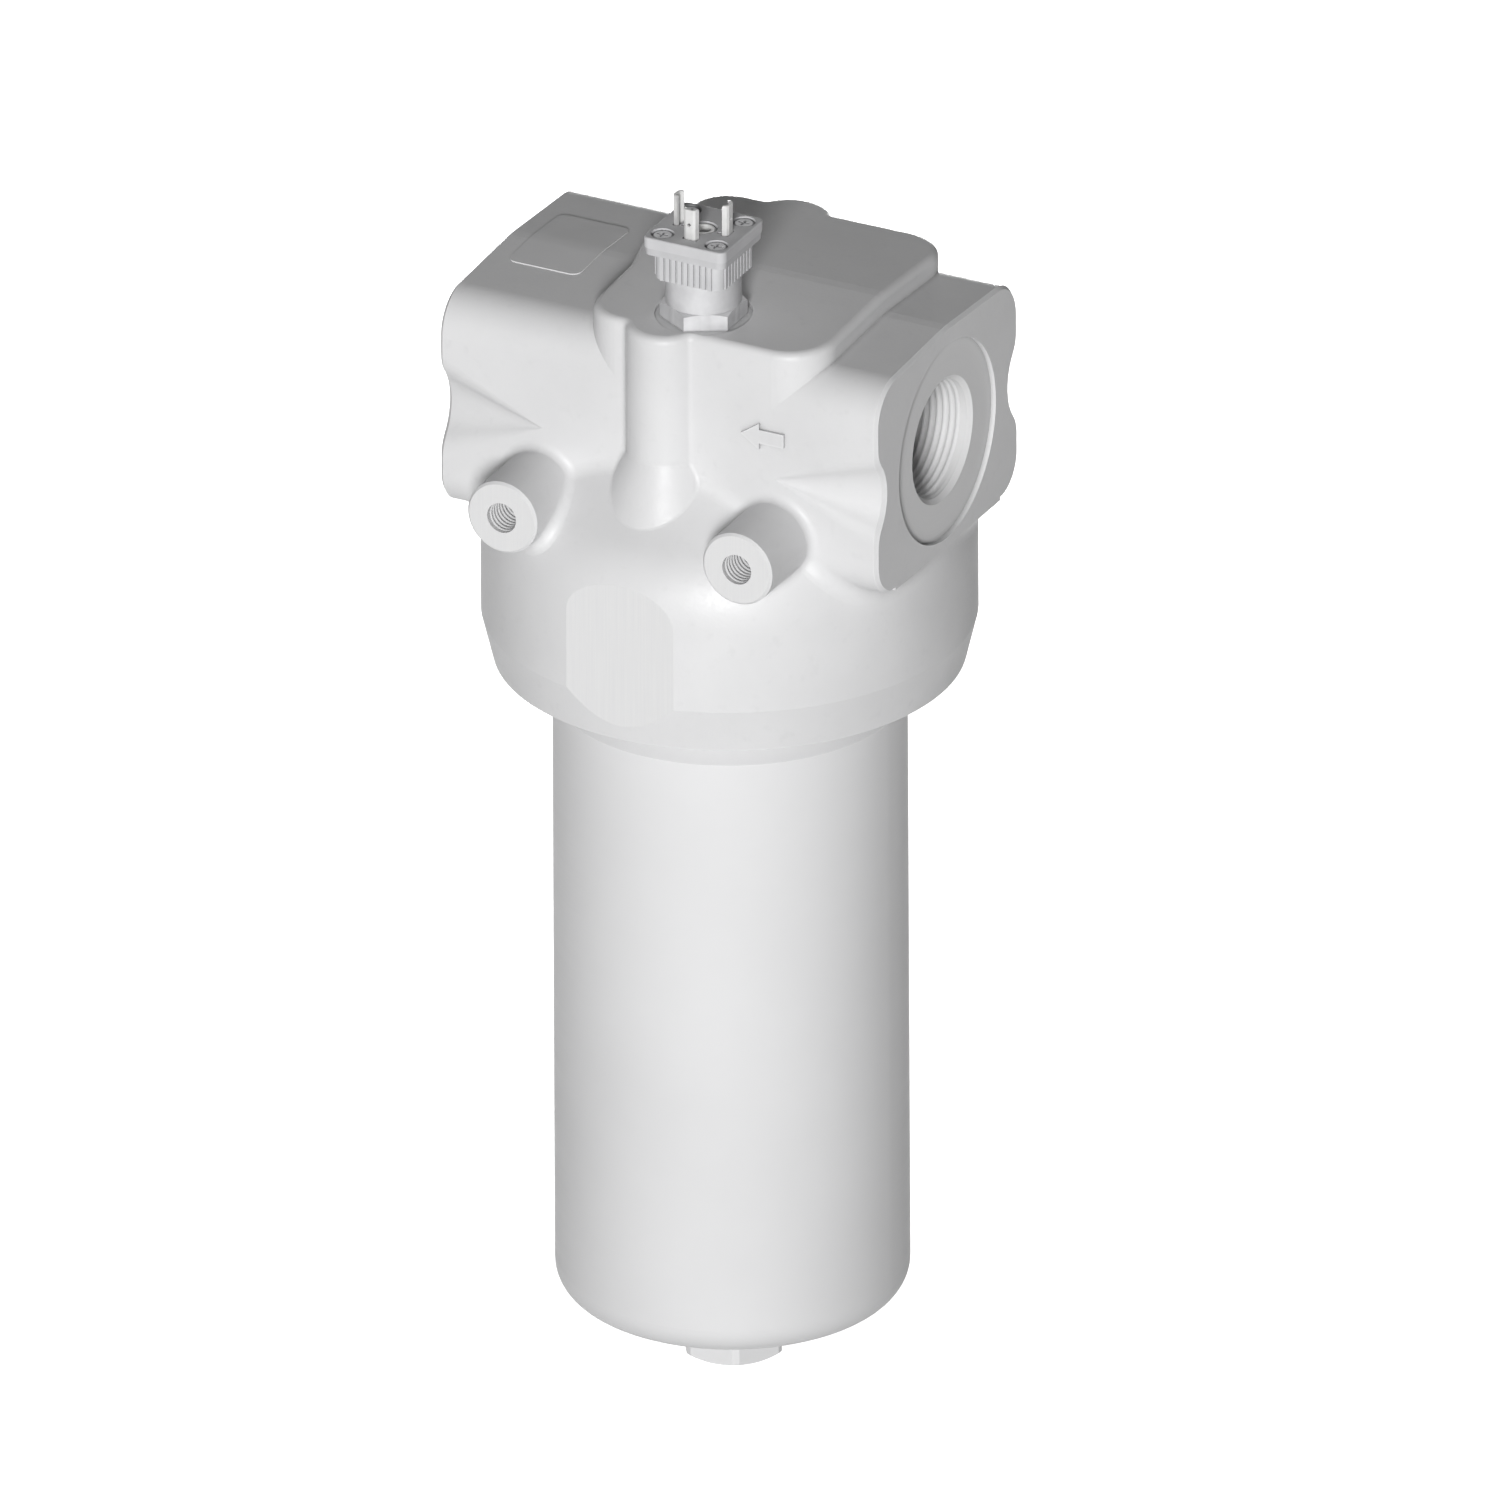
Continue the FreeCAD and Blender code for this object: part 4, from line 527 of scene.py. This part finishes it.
def bowl_finish():
    """Satin grey paint over very fine turning lines round the bowl's axis, with edges paled by wear
    and by a painted highlight, and painted shade in inner corners.
    """
    steel = Finish("painted_bowl", specular=0.4)
    cloud = steel.noise(12.0, 4.0)
    patches = steel.ramp(steel.noise(200.0, 5.0), 0.15, 0.85)
    # Edges turn paler in patches: wear and a painted highlight together.
    worn_highlight = steel.math("MULTIPLY", steel.edges(BOWL_WEAR_HIGHLIGHT_RADIUS), patches)
    grey = steel.blend(worn_highlight, steel.ramp(cloud, *BOWL_GREY), BOWL_WORN_HIGHLIGHT)
    # The grey is darkened in inner corners by painted shade.
    steel.colour(steel.multiply(grey, steel.corners(CORNER_SHADE_REACH, 0.5)))
    lines = steel.noise(30.0, 6.0, stretch=(0.4, 0.4, 60.0))
    steel.roughness(steel.ramp(lines, 0.38, 0.48))
    steel.bump(lines, 0.00006, 0.3)
    return steel.material


painted_bowl = bowl_finish()
paint(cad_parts["filter_bowl"], painted_bowl)
neck = thread_ridge("bowl_thread", (0.0, BOWL_BACK, NECK_LOW), (0.0, 0.0, 1.0), (1.0, 0.0, 0.0),
                    NECK_RADIUS, NECK_PITCH, NECK_LENGTH, NECK_RIDGE)
paint(neck, painted_bowl)
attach(neck, "bowl")


# The clogging indicator's screwed body and the small turned parts inside are zinc-coated steel,
# and so are the four cross-head screws of the plug.
# How far the painted shade reaches into the inner corners of the small parts.
SMALL_SHADE_REACH = 0.0008


def zinc_finish(name, dark, pale, low=0.34, high=0.48, metallic=0.25):
    """Grey metal with soft clouds, painted shade in inner corners and short scratches along its
    height.
    """
    zinc = Finish(name, metallic=metallic)
    cloud = zinc.noise(160.0, 4.0)
    zinc.colour(zinc.multiply(zinc.ramp(cloud, dark, pale), zinc.corners(SMALL_SHADE_REACH, 0.4)))
    lines = zinc.noise(120.0, 5.0, stretch=(1.0, 1.0, 14.0))
    zinc.roughness(zinc.ramp(lines, low, high))
    zinc.bump(lines, 0.00003, 0.3)
    return zinc.material


zinc_coat = zinc_finish("zinc_coat", (0.50, 0.50, 0.51), (0.60, 0.60, 0.61))
for name in ("indicator_body", "plate_screws", "element_spigot", "bypass_seat", "bypass_cage",
             "bypass_poppet", "indicator_piston"):
    paint(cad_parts[name], zinc_coat)


# The plug's housing and contact plate are moulded in grey glass-filled plastic. The backup ring
# behind the bowl's seal is a pale hard plastic.
def moulded_finish(name, dark, pale):
    """Satin plastic with a fine spark-eroded grain, faint flow clouds and painted shade in inner
    corners.
    """
    plastic = Finish(name)
    cloud = plastic.noise(90.0, 3.0)
    plastic.colour(plastic.multiply(plastic.ramp(cloud, dark, pale),
                                    plastic.corners(SMALL_SHADE_REACH, 0.4)))
    grain = plastic.noise(3200.0, 2.0)
    plastic.roughness(plastic.ramp(grain, 0.46, 0.60))
    plastic.bump(grain, 0.00002, 0.4)
    return plastic.material


moulded = moulded_finish("moulded_plastic", (0.50, 0.50, 0.51), (0.56, 0.56, 0.57))
for name in ("indicator_housing", "connector_base"):
    paint(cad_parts[name], moulded)
paint(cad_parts["bowl_backup_ring"],
      moulded_finish("backup_plastic", (0.72, 0.72, 0.70), (0.80, 0.80, 0.78)))


# The gasket under the contact plate is grey moulded rubber, held down by the plate's screws. The
# O-rings are black rubber and lie in turned grooves.
def rubber_finish(name, dark, pale):
    """Matt rubber with a very fine grain."""
    rubber = Finish(name, specular=0.2)
    rubber.colour(rubber.ramp(rubber.noise(140.0, 3.0), dark, pale))
    grain = rubber.noise(2400.0, 2.0)
    rubber.roughness(rubber.ramp(grain, 0.60, 0.80))
    rubber.bump(grain, 0.00003, 0.4)
    return rubber.material


paint(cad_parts["plug_gasket"],
      rubber_finish("gasket_rubber", (0.46, 0.46, 0.47), (0.52, 0.52, 0.53)))
black_rubber = rubber_finish("seal_rubber", (0.018, 0.018, 0.018), (0.035, 0.035, 0.035))
for name in ("bowl_o_ring", "element_o_ring", "indicator_o_ring"):
    paint(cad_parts[name], black_rubber)


# The three contacts are folded from tinned brass sheet and stand in the contact plate. The insert
# in its middle is turned from tinned brass.
tin = zinc_finish("tinned_brass", (0.58, 0.58, 0.58), (0.68, 0.68, 0.67), 0.26, 0.40)
for name in ("line_contact_left", "line_contact_right", "earth_contact", "centre_insert"):
    paint(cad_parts[name], tin)


# The element: its end caps and pierced core are zinc-coated sheet, its folds a pale fleece that
# stands round the core between the caps.
sheet_zinc = zinc_finish("sheet_zinc", (0.56, 0.56, 0.55), (0.68, 0.68, 0.66), 0.24, 0.42)
for name in ("element_top_cap", "element_bottom_cap", "core_tube"):
    paint(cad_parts[name], sheet_zinc)


def fleece_finish():
    """Off-white fibres: a noise pulled out along the folds for the threads, matt all over."""
    fleece = Finish("fleece", specular=0.1)
    fibres = fleece.noise(700.0, 5.0, stretch=(1.0, 1.0, 0.25))
    fleece.colour(fleece.ramp(fibres, (0.70, 0.69, 0.63), (0.84, 0.83, 0.78)))
    fleece.roughness(fleece.ramp(fibres, 0.80, 0.95))
    fleece.bump(fibres, 0.0002, 0.6)
    return fleece.material


paint(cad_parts["pleated_media"], fleece_finish())


# The bypass spring and the indicator's spring are wound from round bright steel wire. The magnet is
# bright steel too.
BYPASS_WIRE = 0.0011
BYPASS_PITCH = 0.0026
BYPASS_TRAVEL = 0.004
INDICATOR_WIRE = 0.0007
INDICATOR_PITCH = 0.0019
INDICATOR_TRAVEL = 0.0025
COIL_STEPS = 48
WIRE_SIDES = 14


def coil_spring(name, node, wire, pitch):
    """A round wire wound round an upright axis in the box of the spring's plain solid. Its line
    rises evenly with the turn from half a wire over the foot to half a wire under the top, and
    at each point a circle of the wire stands upright and square to the winding."""
    low, high = (np.array(corner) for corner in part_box(node))
    centre = (low + high) / 2.0
    radius = (high[0] - low[0]) / 2.0 - wire / 2.0
    rise = high[2] - low[2] - wire
    turns = rise / pitch
    angle = np.linspace(0.0, 2.0 * math.pi * turns, round(turns * COIL_STEPS) + 1)[:, None]
    round_wire = np.linspace(0.0, 2.0 * math.pi, WIRE_SIDES, endpoint=False)[None, :]
    out = radius + wire / 2.0 * np.cos(round_wire)
    level = low[2] + wire / 2.0 + rise * angle / angle[-1] + wire / 2.0 * np.sin(round_wire)
    across = centre[0] + out * np.cos(angle)
    along = centre[1] + out * np.sin(angle)
    return swept(name, np.stack([across, along, level], axis=2))


spring_steel = zinc_finish("spring_steel", (0.34, 0.34, 0.35), (0.46, 0.46, 0.47), 0.20, 0.32, 0.8)
paint(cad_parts["indicator_magnet"], spring_steel)
for name, node, joint, wire, pitch, travel in (
        ("bypass_coil", "bypass_spring", "bypass_lift", BYPASS_WIRE, BYPASS_PITCH, BYPASS_TRAVEL),
        ("indicator_coil", "indicator_spring", "indicator_lift", INDICATOR_WIRE,
         INDICATOR_PITCH, INDICATOR_TRAVEL)):
    coil = coil_spring(name, node, wire, pitch)
    paint(coil, spring_steel)
    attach(coil, "head")
    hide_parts(node)
    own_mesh(coil)


# The reed switch is a small sealed tube of greenish glass in the indicator's body. It closes when
# the piston's magnet comes near.
def glass_finish():
    """Thin clear glass with faint waves."""
    glass = Finish("switch_glass", specular=0.5)
    glass.shader.inputs["Transmission Weight"].default_value = 0.85
    glass.shader.inputs["IOR"].default_value = 1.5
    waves = glass.noise(300.0, 2.0)
    glass.colour(glass.ramp(waves, (0.72, 0.80, 0.77), (0.82, 0.88, 0.86)))
    glass.roughness(glass.ramp(waves, 0.03, 0.08))
    glass.bump(waves, 0.00002, 0.3)
    return glass.material


paint(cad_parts["reed_switch"], glass_finish())
